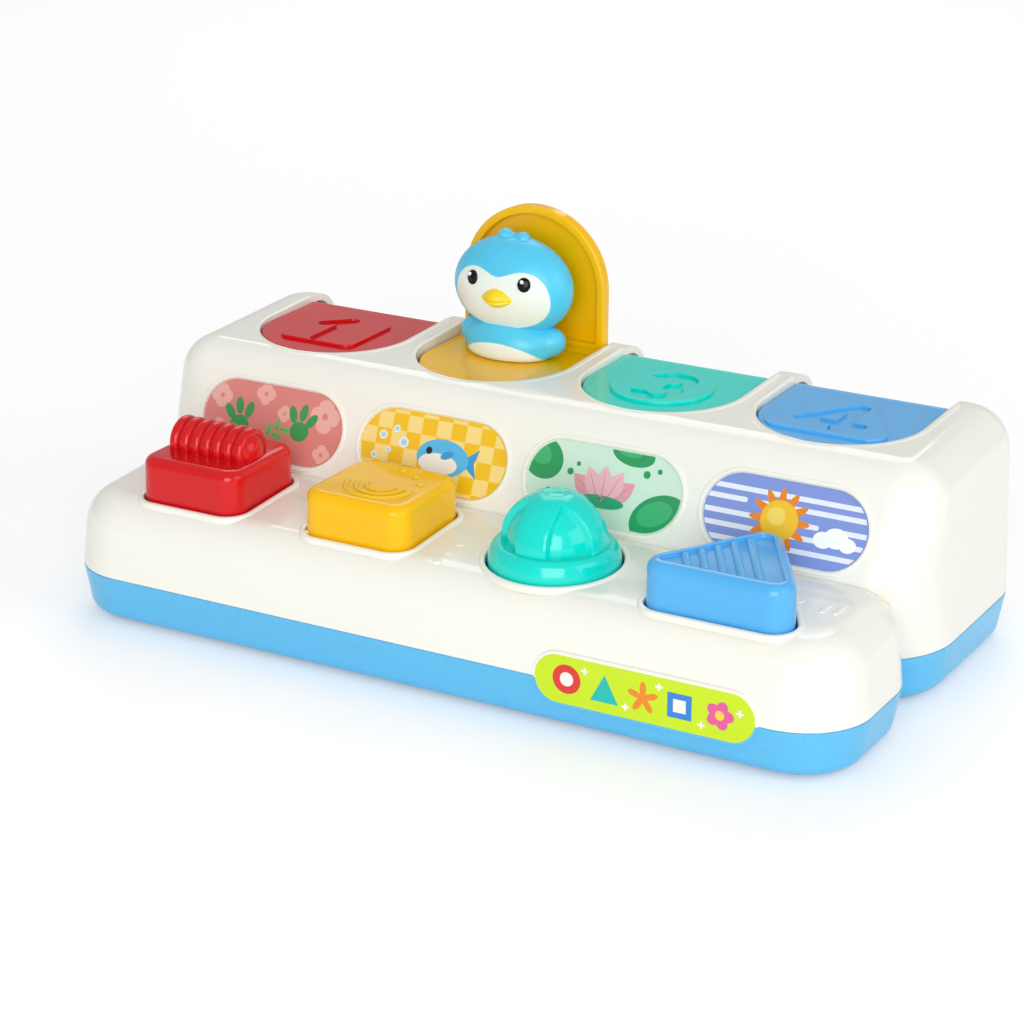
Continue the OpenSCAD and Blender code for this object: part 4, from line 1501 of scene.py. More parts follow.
@dataclass
class Button:
    """Push button on a stem, with its own relief on top."""

    palette: Palette
    column: Column
    dome_top: float = 70.0
    dome_r: float = 18.0
    dome_z: float = 53.0
    band_half: float = 5.3
    hollow: float = 2.3
    roller_z: float = 62.5
    roller_half: float = 11.0
    skirt_z: float = 35.5
    wall: float = 2.4
    edge: float = 3.5
    rib_r: float = 1.5

    @staticmethod
    def outline(column: Column) -> Outline:
        """Plan of the button of a column."""
        if column is Column.TEAL:
            return disc(22, 2)
        if column is Column.BLUE:
            return three_sided(7)
        return rounded_square(20, 7)

    def cap(self, top: Profile) -> Form:
        """Hollow cap with a flange under the deck.

        Args:
            top: Profile that its outside goes on along, above the flange.

        Returns:
            The form.
        """
        inside: Profile = [(-self.wall, LAYOUT.cap_top - 3), (-self.wall, self.skirt_z)]
        if self.column is Column.TEAL:
            turns = [math.radians(a) for a in range(90, -1, -10)]
            ceiling = [(14 * math.cos(a) - 22, 50 + 15.5 * math.sin(a)) for a in turns]
            inside = ceiling + [(-self.wall, 44.0), (-self.wall, self.skirt_z)]
        z = self.skirt_z
        flange = arc(1.2, z + 0.4, 0.4, -90, 0, 2) + arc(1.2, z + 1.6, 0.4, 0, 90, 2) + [(0, z + 2)]
        return Form().stack(self.outline(self.column), inside + flange + top)

    def stem(self) -> Form:
        """Round stem down to the bar below."""
        high = (self.dome_top if self.column is Column.TEAL else LAYOUT.cap_top) - 2
        loop: Profile = [(1.25, 17), (3.6, 17), (4.0, 17.4), (4.0, high), (1.25, high)]
        return Form().stack(disc(0, 8), loop, 0, True)

    def soft_top(self) -> Profile:
        """Outer edge of a flat-topped cap."""
        e, top = self.edge, LAYOUT.cap_top
        return [(0, top - e - 6)] + arc(-e, top - e, e, 0, 90, 8)

    def flat_cap(self) -> Form:
        """Cap with a plain flat top."""
        return self.cap(self.soft_top() + [(-12, LAYOUT.cap_top), (-20, LAYOUT.cap_top)])

    def red_form(self) -> Form:
        """Rounded square cap that carries the ribbed roller."""
        ends = arc(1.0, -self.roller_half, 6.2, -90, 0, 8) + arc(1.0, self.roller_half, 6.2, 0, 90, 8)
        roller = Form().stack(disc(0, 5), [(max(x, 0.02), z) for x, z in ends])
        return self.flat_cap().add(roller, shift(0, 0, self.roller_z) @ turn_y(90))

    def roller_ribs(self) -> Object:
        """Seven rings round the roller."""
        loop = [(8.0 + x * 0.9 - 1.2, z) for x, z in arc(0, 0, 1.9, -180, 165, 23)]
        ring = Form().stack(disc(0, 5), loop, 0, True)
        frame = LAYOUT.button(Column.RED, self.roller_z) @ turn_y(90)
        spots = [Vector((0, 0, (k - 3) * 4.4)) for k in range(7)]
        return repeat("roller_ribs_red", ring, spots, self.palette.buttons[Column.RED], frame)

    def yellow_form(self) -> Form:
        """Rounded square cap with three nested arcs and three dots."""
        form, top = self.flat_cap(), LAYOUT.cap_top
        turns = [math.radians(185 + 170 * k / 40) for k in range(41)]
        for r in (5.25, 8.75, 12.25):
            path = [Vector((2 + r * math.cos(a), -3 + r * math.sin(a), top - 0.1)) for a in turns]
            form.round_bar(path, 0.85, 12, 8)
        for x, y in ((13, 3.5), (8, 9.5), (1, 12.5)):
            form.ball((x, y, top - 0.2), (1.7, 1.7, 0.95), 10, 20)
        return form

    def dome_form(self) -> Form:
        """Dome over a wide skirt; two bands cross it and leave four soft hollows."""
        sides, levels, dome_r = 256, 84, self.dome_r
        turns = [math.radians(9 * k) for k in range(10)]
        brim = [(3.5 * math.cos(a) - 3.5, 46 + 7 * math.sin(a)) for a in turns]
        lower = self.cap(brim + [(-5.0, 52.75), (-8.5, 52.6), (-8.8, 50.0)])
        lower.faces.pop()  # the cap's own flat top, hidden under the dome
        lower.looks.pop()
        rings: list[Ring] = []
        for v in range(levels + 1):
            a = math.radians(90 * min(v / levels, 0.9985))
            r, rise = dome_r * math.cos(a), math.sin(a)
            dimple = 0.6 * (1 - soft_step(3.2, 4.6, r))
            ring: Ring = []
            for b in (2 * math.pi * k / sides for k in range(sides)):
                x, y = r * math.cos(b), r * math.sin(b)
                sink = self.hollow * soft_step(self.band_half, self.band_half + 1.6, min(abs(x), abs(y)))
                out = Vector((x / dome_r, y / dome_r, rise)).normalized()
                p = Vector((x, y, self.dome_z + (self.dome_top - self.dome_z) * rise)) - out * sink
                ring.append(p - Vector((0, 0, dimple)))
            rings.append(ring)
        waist = [[Vector((p.x, p.y, z)) for p in rings[0]] for z in (50.5, 51.8)]
        return lower.add(Form().loft(waist + rings))

    def blue_form(self) -> Form:
        """Three-sided cap with a recess that holds five rounded ribs."""
        top, low, r = LAYOUT.cap_top, LAYOUT.cap_top - 1.4, self.rib_r
        lip = arc(-3.5, top - 0.4, 0.4, 90, 180, 4) + arc(-4.4, low + 0.5, 0.5, 0, -90, 4)
        form = self.cap(self.soft_top() + lip + [(-6.9, low)])
        for k in range(-2, 3):
            cut = chord(three_sided(1.5).ring(), k * 5.4 - 6.4, 30.0)
            if cut:
                path = [cut[0].lerp(cut[1], t / 12) + Vector((0, 0, low - 0.15)) for t in range(13)]
                form.round_bar(path, r, 16, 12)
        return form

    def build(self) -> None:
        """Builds the button."""
        shapes = {
            Column.RED: self.red_form,
            Column.YELLOW: self.yellow_form,
            Column.TEAL: self.dome_form,
            Column.BLUE: self.blue_form,
        }
        tag, look = self.column.tag, self.palette.buttons[self.column]
        form = shapes[self.column]().add(self.stem())
        made = form.build(f"button_{tag}_cap", LAYOUT.button(self.column), [look])
        place(made, f"button_{tag}", f"{tag}_plastic", f"button_{tag}")
        if self.column is Column.RED:
            place(self.roller_ribs(), "button_red", "red_plastic", "button_red")


def soft_step(low: float, high: float, value: float) -> float:
    """0 below low, 1 above high, smooth between."""
    t = min(max((value - low) / (high - low), 0.0), 1.0)
    return t * t * (3 - 2 * t)


def chord(ring: Ring, across: float, degrees: float) -> tuple[Vector, Vector] | None:
    """Part inside an outline of a line that crosses the turned X axis.

    Args:
        ring: The outline.
        across: Where the line crosses that axis.
        degrees: Turn of the axis.

    Returns:
        The two ends, or None where the line misses the outline.
    """
    turn = turn_z(-degrees)
    flat = [turn @ p for p in ring]
    hits = []
    for a, b in zip(flat, flat[1:] + flat[:1]):
        if (a.x - across) * (b.x - across) < 0:
            hits.append(a.lerp(b, (across - a.x) / (b.x - a.x)))
    if len(hits) != 2 or (hits[0] - hits[1]).length < 1.0:
        return None
    back = turn_z(degrees)
    return back @ hits[0], back @ hits[1]


# ---- animals ----


def chain(knots: Sequence[tuple[float, float]], steps: int = 6) -> Profile:
    """Smooth curve through knots.

    Args:
        knots: The knots.
        steps: Points from one knot to the next.

    Returns:
        Points of the curve.
    """
    ends = [knots[0], *knots, knots[-1]]
    points: Profile = []
    for k in range(1, len(ends) - 2):
        for t in (s / steps for s in range(steps)):
            a, b, c, d = (Vector(q) for q in ends[k - 1 : k + 3])
            square, cube = 2 * a - 5 * b + 4 * c - d, 3 * b - a - 3 * c + d
            p = 0.5 * (2 * b + (c - a) * t + square * t * t + cube * t**3)
            points.append((p.x, p.y))
    return points + [knots[-1]]


def oval(x: float, z: float, a: float, b: float) -> float:
    """About how far a point lies inside an oval, in millimetres."""
    return (1 - math.hypot(x / a, z / b)) * min(a, b)


def blend_max(a: float, b: float, soft: float) -> float:
    """The greater of two distances, with the corner between them filled."""
    h = max(soft - abs(a - b), 0.0) / soft
    return max(a, b) + h * h * soft / 4


@dataclass
class Animal:
    """A squat vinyl animal on the seat of a flap."""

    palette: Palette
    column: Column
    head: tuple[float, float, float]
    body_size: tuple[float, float, float] = (16.8, 11.4, 15.0)
    arm_at: tuple[float, float, float] = (15.6, 2.0, 6.4)
    arm_size: tuple[float, float, float] = (5.2, 4.6, 5.2)
    arm_blend: float = 2.0
    head_back: float = 2.2
    head_z: float = 25.0

    @property
    def head_at(self) -> Vector:
        """Centre of the head."""
        return Vector((0, self.head_back, self.head_z))

    def body_depth(self, p: Vector) -> float:
        """How deep a point lies in the body, its arms grown into its sides and its foot rounded."""
        a, b, c = self.body_size
        q = Vector((p.x / a, p.y / b, (p.z - 5.0) / (c - 5.0 if p.z > 5 else c + 1.0)))
        trunk = (1 - q.length) * b
        reach = Vector((abs(p.x), p.y, p.z)) - Vector(self.arm_at)
        arm = (1 - Vector(r / size for r, size in zip(reach, self.arm_size)).length) * self.arm_size[0]
        return -blend_max(-blend_max(trunk, arm, self.arm_blend), -p.z, 2.4)

    def body_form(self, paint: Paint | None = None) -> Form:
        """Squat body, drawn along rays from its middle to where its depth is nothing."""
        middle, rows, sides = Vector((0, 0, 6.5)), 56, 120
        rings: list[Ring] = []
        for row in range(1, rows):
            polar = math.radians(180 - 180 * row / rows)
            flat, up = math.sin(polar), math.cos(polar)
            ring: Ring = []
            for k in range(sides):
                turn = 2 * math.pi * k / sides
                ray = Vector((flat * math.cos(turn), flat * math.sin(turn), up))
                near, far = 0.0, 30.0
                for _ in range(22):
                    half = (near + far) / 2
                    near, far = (half, far) if self.body_depth(middle + ray * half) > 0 else (near, half)
                ring.append(middle + ray * near)
            rings.append(ring)
        return Form().loft(rings, 0, True, False, paint)

    def head_form(self, paint: Paint | None = None) -> Form:
        """Main ball of the head."""
        return Form().ball(self.head_at, self.head, 64, 110, 0, paint)

    def on_head(self, x: float, z: float) -> Vector:
        """Point on the front of the head at x and z from its centre."""
        a, b, c = self.head
        y = -b * math.sqrt(max(1 - (x / a) ** 2 - (z / c) ** 2, 0.0))
        return self.head_at + Vector((x, y, z))

    def facing(self, x: float, z: float) -> Matrix:
        """Turn that lays a flat eye on the head at x and z."""
        a, b, c = self.head
        p = self.on_head(x, z) - self.head_at
        normal = Vector((p.x / a**2, p.y / b**2, p.z / c**2)).normalized()
        return Vector((0, -1, 0)).rotation_difference(normal).to_matrix().to_4x4()

    def eyes(self, form: Form, x: float, z: float, half: tuple[float, float]) -> None:
        """Adds two glossy eyes, each with a white dot of painted highlight where a reflection would be.

        Args:
            form: The head.
            x: How far out of its middle the eyes are.
            z: How far above its middle.
            half: Half width and half height of an eye.
        """
        a, b = half
        for s in (-1, 1):
            turn, at = self.facing(s * x, z), self.on_head(s * x, z)
            form.ball(at, (a, 0.9, b), 20, 28, 1, None, turn)
            # painted highlight: a white dot on each eye, up and to one side, where the lamps would reflect
            glint = at + turn @ Vector((-a * 0.3, -0.72, b * 0.36))
            form.ball(glint, (a * 0.33, 0.34, b * 0.3), 10, 16, 2)

    def put(self, form: Form, node: str, slot: str, finishes: Sequence[Material]) -> None:
        """Builds a piece of the animal on its flap.

        Args:
            form: Its form, about the middle of the animal's foot.
            node: Node of the solid that it replaces.
            slot: Slot of its finish.
            finishes: Its materials.
        """
        made = form.build(f"{node}_vinyl", LAYOUT.figure(self.column), finishes)
        place(made, f"flap_{self.column.tag}", slot, node)

    def looks(self, name: str) -> list[Material]:
        """Vinyl of a colour, then the eye and the white of its painted highlight."""
        return [self.palette.vinyl[name], self.palette.eye, self.palette.glint]


@dataclass
class Penguin(Animal):
    """The animal on the open flap."""

    def face(self, p: Vector) -> float:
        """White of the face: two lobes over the eyes and a broad cheek."""
        x, z = math.sqrt(p.x * p.x + 6.0), p.z - self.head_z
        if p.y > self.head_back:
            return NO_PATCH
        lobe = 8.9 - math.hypot(x - 9.6, z + 0.7)
        cheek = oval(x, z + 4.6, 15.6, 8.8)
        return blend_max(lobe, cheek, 5.0)

    def belly(self, p: Vector) -> float:
        """White of the belly."""
        return oval(p.x, p.z + 2.4, 16.4, 9.3) if p.y < 0 else NO_PATCH

    def build(self) -> None:
        """Builds body, head and beak."""
        looks = self.looks("penguin")
        self.put(self.body_form(self.belly), "penguin_body", "penguin_blue", looks)
        head = self.head_form(self.face)
        tuft = chain(((-3.6, 17.7), (-1.7, 17.3), (0.1, 17.0), (1.9, 17.1), (3.7, 17.2)))
        path = [Vector((x, self.head_back, self.head_z + z)) for x, z in tuft]
        last = len(path) - 1
        widths = [2.55 - 0.6 * soft_step(0.0, 1.0, 1 - abs(2 * k / last - 1)) for k in range(last + 1)]
        head.tube(path, widths, 24)
        for end, width in ((path[0], widths[0]), (path[-1], widths[-1])):
            head.ball(end, (width, width, width), 20, 24)
        self.eyes(head, 10.3, 4.2, (2.4, 2.6))
        self.put(head, "penguin_head", "penguin_blue", looks)
        self.put(self.beak(), "penguin_beak", "orange_plastic", [self.palette.beak])

    def beak(self) -> Form:
        """Lemon-shaped beak, pointed at both sides, with a mouth line pressed in."""
        at, rows, sides = Vector((0.1, self.head_back - 11.4, self.head_z - 1.6)), 40, 48
        rings: list[Ring] = []
        for k in range(1, rows):
            t = 2 * k / rows - 1
            wide = (1 - abs(t) ** 1.7) ** 0.9
            ring: Ring = []
            for m in range(sides):
                a = 2 * math.pi * m / sides
                mouth = 0.45 * math.exp(-(((math.sin(a) + 0.28) / 0.12) ** 2)) if math.cos(a) > 0 else 0
                depth = (5.0 - mouth * 2) * wide * math.cos(a)
                ring.append(at + Vector((7.0 * t, -depth, 3.7 * wide * math.sin(a) - 0.5 * t * t)))
            rings.append(ring)
        return Form().loft(rings)


@dataclass
class Dinosaur(Animal):
    """The green animal of the first flap."""

    def spots(self, p: Vector) -> float:
        """Darker spots on the crown and the back of the head."""
        spots = ((9, 2, 14, 2.6), (-8, 6, 13, 3.0), (-12, -1, 10, 2.0), (12, 7, 8, 2.4), (3, 12, 8, 2.4))
        near = (r - (p - self.head_at - Vector((x, y, z))).length for x, y, z, r in spots)
        return max(NO_PATCH, *near)

    def build(self) -> None:
        """Builds body, head and muzzle."""
        looks = self.looks("dinosaur")
        self.put(self.body_form(), "dinosaur_body", "dinosaur_green", looks)
        head = self.head_form(self.spots)
        for k in (-1, 0, 1):
            plate = Form().plate(disc(2.9, 12), -1.5, 1.5, 0.6, 0.6)
            head.add(plate, shift(0, 6 + 4 * k, self.head_z + 13.5 - 4 * k) @ turn_y(90))
        self.eyes(head, 8.2, 6.2, (2.3, 2.7))
        self.put(head, "dinosaur_head", "dinosaur_green", looks)
        at = Vector((0, -8, self.head_z - 6))
        muzzle = Form().ball(at, (17.4, 9.3, 9.8), 36, 56)
        for s in (-1, 1):
            muzzle.ball(at + Vector((s * 5.0, -8.0, 4.2)), (1.3, 0.8, 1.0), 10, 16, 1)
        self.put(muzzle, "dinosaur_muzzle", "dinosaur_pale", self.looks("dinosaur_pale"))


@dataclass
class Hippo(Animal):
    """The pink animal of the third flap."""

    ear_x: float = 13.0
    ear_z: float = 39.0

    @property
    def muzzle_at(self) -> Vector:
        """Middle of the muzzle."""
        return Vector((0, -8, self.head_z - 6.5))

    def cheeks(self, p: Vector) -> float:
        """Rosy cheeks."""
        q = p - self.head_at
        return 2.6 - math.hypot(abs(q.x) - 14.5, q.z - 0.5) if q.y < 0 else NO_PATCH

    def ears(self, p: Vector) -> float:
        """Rosy fronts of the ears."""
        q = p - Vector((0, 0, self.ear_z))
        return 2.4 - math.hypot(abs(q.x) - self.ear_x, q.z - 0.4) if q.y < -1 else NO_PATCH

    def nostrils(self, p: Vector) -> float:
        """Nostrils on the front of the muzzle."""
        q = p - self.muzzle_at
        return 1.7 - math.hypot(abs(q.x) - 6.0, (q.z - 4.6) * 0.8) if q.y < 0 else NO_PATCH

    def build(self) -> None:
        """Builds body, head and muzzle."""
        looks = self.looks("hippo")
        self.put(self.body_form(), "hippo_body", "hippo_pink", looks)
        head = self.head_form(self.cheeks)
        for x in (-self.ear_x, self.ear_x):
            head.ball((x, 0, self.ear_z), (4.5, 3.0, 4.5), 20, 28, 0, self.ears)
        self.eyes(head, 7.6, 8.0, (2.3, 2.6))
        self.put(head, "hippo_head", "hippo_pink", looks)
        muzzle = Form().ball(self.muzzle_at, (16.3, 9.9, 9.4), 40, 64, 0, self.nostrils)
        self.put(muzzle, "hippo_muzzle", "cream_plastic", self.looks("cream"))


@dataclass
class Lion(Animal):
    """The yellow animal of the fourth flap, with its mane."""

    def muzzle_patch(self, p: Vector) -> float:
        """Pale muzzle of two round halves."""
        q = p - self.head_at
        return 5.4 - math.hypot(abs(q.x) - 4.0, q.z + 5.0) if q.y < 0 else NO_PATCH

    def mane(self) -> Form:
        """Scalloped disc behind the head, rounded over its edge."""
        at_z, rows, sides = self.head_z + 1, 12, 192
        rings: list[Ring] = []
        for t in range(rows + 1):
            a = math.radians(-90 + 180 * t / rows)
            draw = 3.2 * (1 - math.cos(a))
            y = 8.2 + 3.4 * math.sin(a)
            ring: Ring = []
            for k in range(sides):
                b = 2 * math.pi * k / sides
                r = 18.4 + 3.3 * abs(math.cos(b * 6)) ** 0.75 - draw
                ring.append(Vector((r * math.cos(b), y, max(at_z + r * math.sin(b), 2.2))))
            rings.append(ring)
        return Form().loft(rings)

    def build(self) -> None:
        """Builds body, mane and head."""
        looks = self.looks("lion")
        self.put(self.body_form(), "lion_body", "yellow_plastic", looks)
        self.put(self.mane(), "lion_mane", "orange_plastic", self.looks("mane"))
        head = self.head_form(self.muzzle_patch)
        self.eyes(head, 6.4, 3.2, (2.0, 2.4))
        head.ball(self.on_head(0, -2.4), (2.4, 1.3, 1.6), 14, 22, 1)
        self.put(head, "lion_head", "yellow_plastic", looks)


# ---- printed labels ----


def clip(subject: Sequence[Vector], edge: Sequence[Vector]) -> Ring:
    """Part of a polygon left of one line, or inside a convex outline.

    Args:
        subject: The polygon.
        edge: Two points of a line, or a convex outline, counter-clockwise.

    Returns:
        The part that is kept, which may be empty.
    """
    lines = [(edge[0], edge[1])] if len(edge) == 2 else list(zip(edge, list(edge[1:]) + [edge[0]]))
    kept = [Vector((p.x, p.y, 0)) for p in subject]
    for a, b in lines:
        across = Vector((a.y - b.y, b.x - a.x))
        if across.length < 1e-9:
            continue
        if not kept:
            break
        sides = [across.dot(Vector((p.x - a.x, p.y - a.y))) for p in kept]
        made: Ring = []
        for k, p in enumerate(kept):
            q, s, t = kept[(k + 1) % len(kept)], sides[k], sides[(k + 1) % len(kept)]
            if s >= 0:
                made.append(p)
            if s * t < 0:
                made.append(p.lerp(q, s / (s - t)))
        kept = made
    return kept if len(kept) > 2 else []


@dataclass
class Artwork:
    """Flat inks on a label, each layer a hair above the last."""

    width: float
    height: float
    inks: list[str] = field(default_factory=list)
    form: Form = field(default_factory=Form)
    inset: float = 0.35
    layer_t: float = 0.012

    def lay(self, points: Sequence[tuple[float, float]], ink: str, layer: int = 1) -> None:
        """Prints a polygon, listed counter-clockwise, clipped to the label."""
        if ink not in self.inks:
            self.inks.append(ink)
        kept = clip([Vector((x, y, 0)) for x, y in points], pill(self.width, self.height).ring(-self.inset))
        if not kept:
            return
        first = self.form.put(Vector((p.x, p.y, layer * self.layer_t)) for p in kept)
        self.form.face([first + k for k in range(len(kept))], self.inks.index(ink))

    def lay_at(self, x: float, y: float, turn: float, ring: Profile, ink: str, layer: int) -> None:
        """Prints a polygon, turned by some degrees about its origin, with that origin at x and y."""
        c, s = math.cos(math.radians(turn)), math.sin(math.radians(turn))
        self.lay([(x + px * c - py * s, y + px * s + py * c) for px, py in ring], ink, layer)

    def blob(
        self, x: float, y: float, a: float, b: float, ink: str, layer: int = 1, turn: float = 0.0
    ) -> None:
        """Prints an oval of half widths a and b."""
        self.lay_at(x, y, turn, [(a * px, b * py) for px, py in arc(0, 0, 1, 0, 350, 35)], ink, layer)

    def block(self, x: float, y: float, a: float, b: float, ink: str, layer: int = 1) -> None:
        """Prints a rectangle of half widths a and b."""
        self.lay([(x - a, y - b), (x + a, y - b), (x + a, y + b), (x - a, y + b)], ink, layer)

    def polar(self, x: float, y: float, radius: Callable[[float], float], ink: str, layer: int = 1) -> None:
        """Prints a shape whose radius is a function of the angle."""
        turns = [2 * math.pi * k / 90 for k in range(90)]
        self.lay([(x + radius(a) * math.cos(a), y + radius(a) * math.sin(a)) for a in turns], ink, layer)

    def leaf(
        self, x: float, y: float, length: float, turn: float, inks: tuple[str, str], layer: int
    ) -> None:
        """Prints a pointed leaf with a middle vein.

        Args:
            x: Where its stalk is.
            y: Where its stalk is.
            length: Its length.
            turn: Way it points, in degrees.
            inks: Inks of the leaf and of its vein.
            layer: Layer of the leaf; the vein lies on the next.
        """
        side = [(length * t / 12, 0.26 * length * math.sin(math.pi * t / 12)) for t in range(13)]
        ring = [(px, -py) for px, py in side] + [(px, py) for px, py in reversed(side[1:-1])]
        self.lay_at(x, y, turn, ring, inks[0], layer)
        w = 0.16
        line = [(0.12 * length, -w), (0.85 * length, -w * 0.4), (0.85 * length, w * 0.4), (0.12 * length, w)]
        self.lay_at(x, y, turn, line, inks[1], layer + 1)

    def build(self, name: str, frame: Matrix, ground: str, thickness: float, film: Material) -> Object:
        """Builds the label.

        Args:
            name: Name of the object.
            frame: Frame of its underside.
            ground: Ink of the ground.
            thickness: Thickness of the label.
            film: Its material.

        Returns:
            The object.
        """
        self.inks.append(ground)
        whole = Form().plate(pill(self.width, self.height), 0, thickness, 0.05, 0.12, len(self.inks) - 1)
        whole.add(self.form, shift(0, 0, thickness))
        made = whole.build(name, frame, [film], False)
        colours = made.data.attributes.new("ink", "FLOAT_COLOR", "CORNER")
        values: list[float] = []
        for f in made.data.polygons:
            values += list(linear(self.inks[f.material_index])) * f.loop_total
            f.material_index = 0
        colours.data.foreach_set("color", values)
        return made


@dataclass
class Labels:
    """Four labels on the slanted face and one across the seam at the front."""

    palette: Palette

    def pink(self) -> tuple[Artwork, str]:
        """Pale flowers on pink, with two footprints and a sprig."""
        art = Artwork(*LAYOUT.label)
        flowers = ((-22.5, 6.4, 4.4), (-22, -6.6, 4.8), (-4.5, 9.6, 4.0), (21, 5.4, 6.0))
        for x, y, r in (*flowers, (22, -8.0, 3.6), (5.0, -10.6, 4.2), (4.4, 3.8, 3.0)):
            art.polar(x, y, lambda a, r=r: r * (0.72 + 0.28 * abs(math.cos(a * 2)) ** 0.6), "#F0B4AA")
            art.blob(x, y, r * 0.2, r * 0.2, "#E08A82", 2)
        for x, y, turn in ((-13.5, -0.6, 12.0), (11.5, 0.8, -10.0)):
            c, s = math.cos(math.radians(turn)), math.sin(math.radians(turn))
            art.blob(x, y - 2.2, 3.9, 3.5, "#3E9E55", 3)
            for dx, dy, lean in ((-4.0, 2.8, 28.0), (0.0, 4.6, 0.0), (4.0, 2.8, -28.0)):
                art.blob(x + dx * c - dy * s, y + dx * s + dy * c, 1.6, 3.1, "#3E9E55", 4, lean + turn)
        for k, side in ((0, 1), (1, -1), (2, 1), (3, -1)):
            art.leaf(-1.5 + k * 1.6, -5.2 + k * 1.2, 5.0, 35 + side * 42, ("#7CC36A", "#3E9E55"), 5)
        return art, "#E08A82"

    def yellow(self) -> tuple[Artwork, str]:
        """Checks on yellow, with a fish and bubbles."""
        art = Artwork(*LAYOUT.label)
        size = 5.8
        for i in range(-6, 6):
            for j in range(-3, 3):
                if (i + j) % 2:
                    x, y = i * size, j * size
                    art.lay([(x, y), (x + size, y), (x + size, y + size), (x, y + size)], "#FBE08A")
        art.lay([(11.0, -1.0), (18.0, -6.2), (16.4, -1.0), (18.0, 4.2)], "#3C9FDC", 2)
        art.blob(4.0, -1.0, 10.2, 6.4, "#58BDF0", 3)
        art.blob(2.5, -3.2, 7.6, 3.6, "#F8F6EE", 4)
        art.blob(-1.6, 0.9, 1.2, 1.3, "#1C2430", 5)
        art.blob(5.6, 0.2, 2.6, 1.3, "#3C9FDC", 5, 24)
        bubbles = ((-12, 2, 1.9), (-15.5, 6.2, 1.3), (-17.6, -1.5, 1.0), (-20.5, 3.4, 1.6), (-23, -4, 1.2))
        for x, y, r in bubbles:
            art.blob(x, y, r, r, "#F8F6EE", 2)
            art.blob(x, y, r * 0.62, r * 0.62, "#A6DCF4", 3)
        return art, "#F5C518"

    def mint(self) -> tuple[Artwork, str]:
        """Round leaves on pale mint, with a pink water flower."""
        art = Artwork(*LAYOUT.label)
        pads = ((22, -7.5, 11, 8, 25), (-24, 6, 8, 7, -30), (-15, -12, 10, 5, 8), (9, 12.5, 8, 4.2, -6))
        for x, y, a, b, turn in pads:
            art.blob(x, y, a, b, "#2C9E5E", 1, turn)
            art.blob(x - 0.18 * a, y + 0.2 * b, a * 0.6, b * 0.5, "#46B474", 2, turn)
        for x, y, r in ((15, 6.5, 1.3), (19.5, 8.2, 0.9), (-13, 3, 1.2), (-10.4, 6.0, 0.8), (-20, -4.6, 1.1)):
            art.blob(x, y, r, r, "#2C9E5E")
        for x, turn in ((-6.5, 140), (6.5, 40), (-4, 115), (4, 65), (0, 90)):
            ink = "#F0A2AC" if abs(x) > 5 else "#F6BDC4"
            art.leaf(x * 0.35, -5.0, 12.0, turn, (ink, "#DE7F8E"), 3 + int(6 - abs(x)) // 2 * 2)
        art.blob(0, -5.2, 8.5, 2.2, "#2DA878", 9)
        return art, "#D3EEDB"

    def blue(self) -> tuple[Artwork, str]:
        """White bands on blue, with a sun and a cloud."""
        art = Artwork(*LAYOUT.label)
        rows = {8.2: (-30, 30), 4.6: (-30, -14, -10, 30), -0.2: (-30, 12, 17, 30), -4.4: (-30, 30)}
        r = 0.85
        for y, cuts in {**rows, -8.8: (-30, -4, 0, 30)}.items():
            for x0, x1 in zip(cuts[::2], cuts[1::2]):
                band = [(r * px, r * py) for px, py in arc(0, 0, 1, -90, 90, 10)]
                right = [(x1 - r + px, y + py) for px, py in band]
                art.lay(right + [(x0 + r - px, y - py) for px, py in band], "#EEF2FB")
        art.polar(-2, 0, lambda a: 8.6 + 2.2 * math.cos(a * 12), "#EF8A22", 2)
        art.blob(-2, 0, 6.6, 6.6, "#F7C62C", 3)
        art.blob(-3.2, 1.2, 3.2, 3.0, "#FADA62", 4)
        for x, y, r in ((14, -3.6, 3.4), (18.4, -2.4, 4.2), (22.6, -4.0, 3.0)):
            art.blob(x, y, r, r * 0.8, "#FFFFFF", 4 + int(r * 2) % 3)
        return art, "#849ADB"

    def lime(self) -> tuple[Artwork, str]:
        """Plain shapes on lime."""
        art = Artwork(77, 16.4)
        art.blob(-27, 0.5, 5.0, 5.0, "#E0332C", 2)
        art.blob(-27, 0.5, 2.4, 2.4, "#F8F6EE", 3)
        art.lay([(-18.5, -4.6), (-8.5, -4.6), (-13.5, 4.8)], "#10BFB2", 2)
        art.polar(0, 0, lambda a: 3.6 + 1.9 * math.cos((a - math.pi / 2) * 5), "#F08A1E", 2)
        art.block(12.8, 0, 4.2, 4.2, "#2E86D8", 2)
        art.block(12.8, 0, 2.2, 2.2, "#F8F6EE", 3)
        art.polar(26.6, 0, lambda a: 3.4 + 1.5 * abs(math.cos(a * 2.5)), "#E65C9C", 2)
        art.blob(26.6, 0, 1.6, 1.6, "#FAD53C", 3)
        for x, y in ((-20.6, 4.6), (-6.0, -4.4), (5.6, 5.0), (20.4, -4.6), (33.4, 2.0)):
            art.block(x, y, 1.3, 0.35, "#F8F6EE", 2)
            art.block(x, y, 0.35, 1.3, "#F8F6EE", 3)
        return art, "#CDEB10"

    def build(self) -> None:
        """Builds the five labels."""
        film = self.palette.film
        for column, maker in zip(Column, (self.pink, self.yellow, self.mint, self.blue)):
            art, ground = maker()
            tag, frame = column.tag, LAYOUT.face(column.x) @ shift(0, 0, -0.6)
            made = art.build(f"label_{tag}_printed", frame, ground, 0.3, film)
            place(made, "housing", f"label_{tag}", f"label_{tag}")
        art, ground = self.lime()
        art.layer_t = 0.004
        frame = LAYOUT.at(LAYOUT.strip_x, LAYOUT.front_y - 0.4, LAYOUT.strip_z) @ turn_x(90)
        made = art.build("label_front_printed", frame, ground, 0.26, film)
        place(made, "housing", "label_lime", "label_front")


# ---- mechanism ----


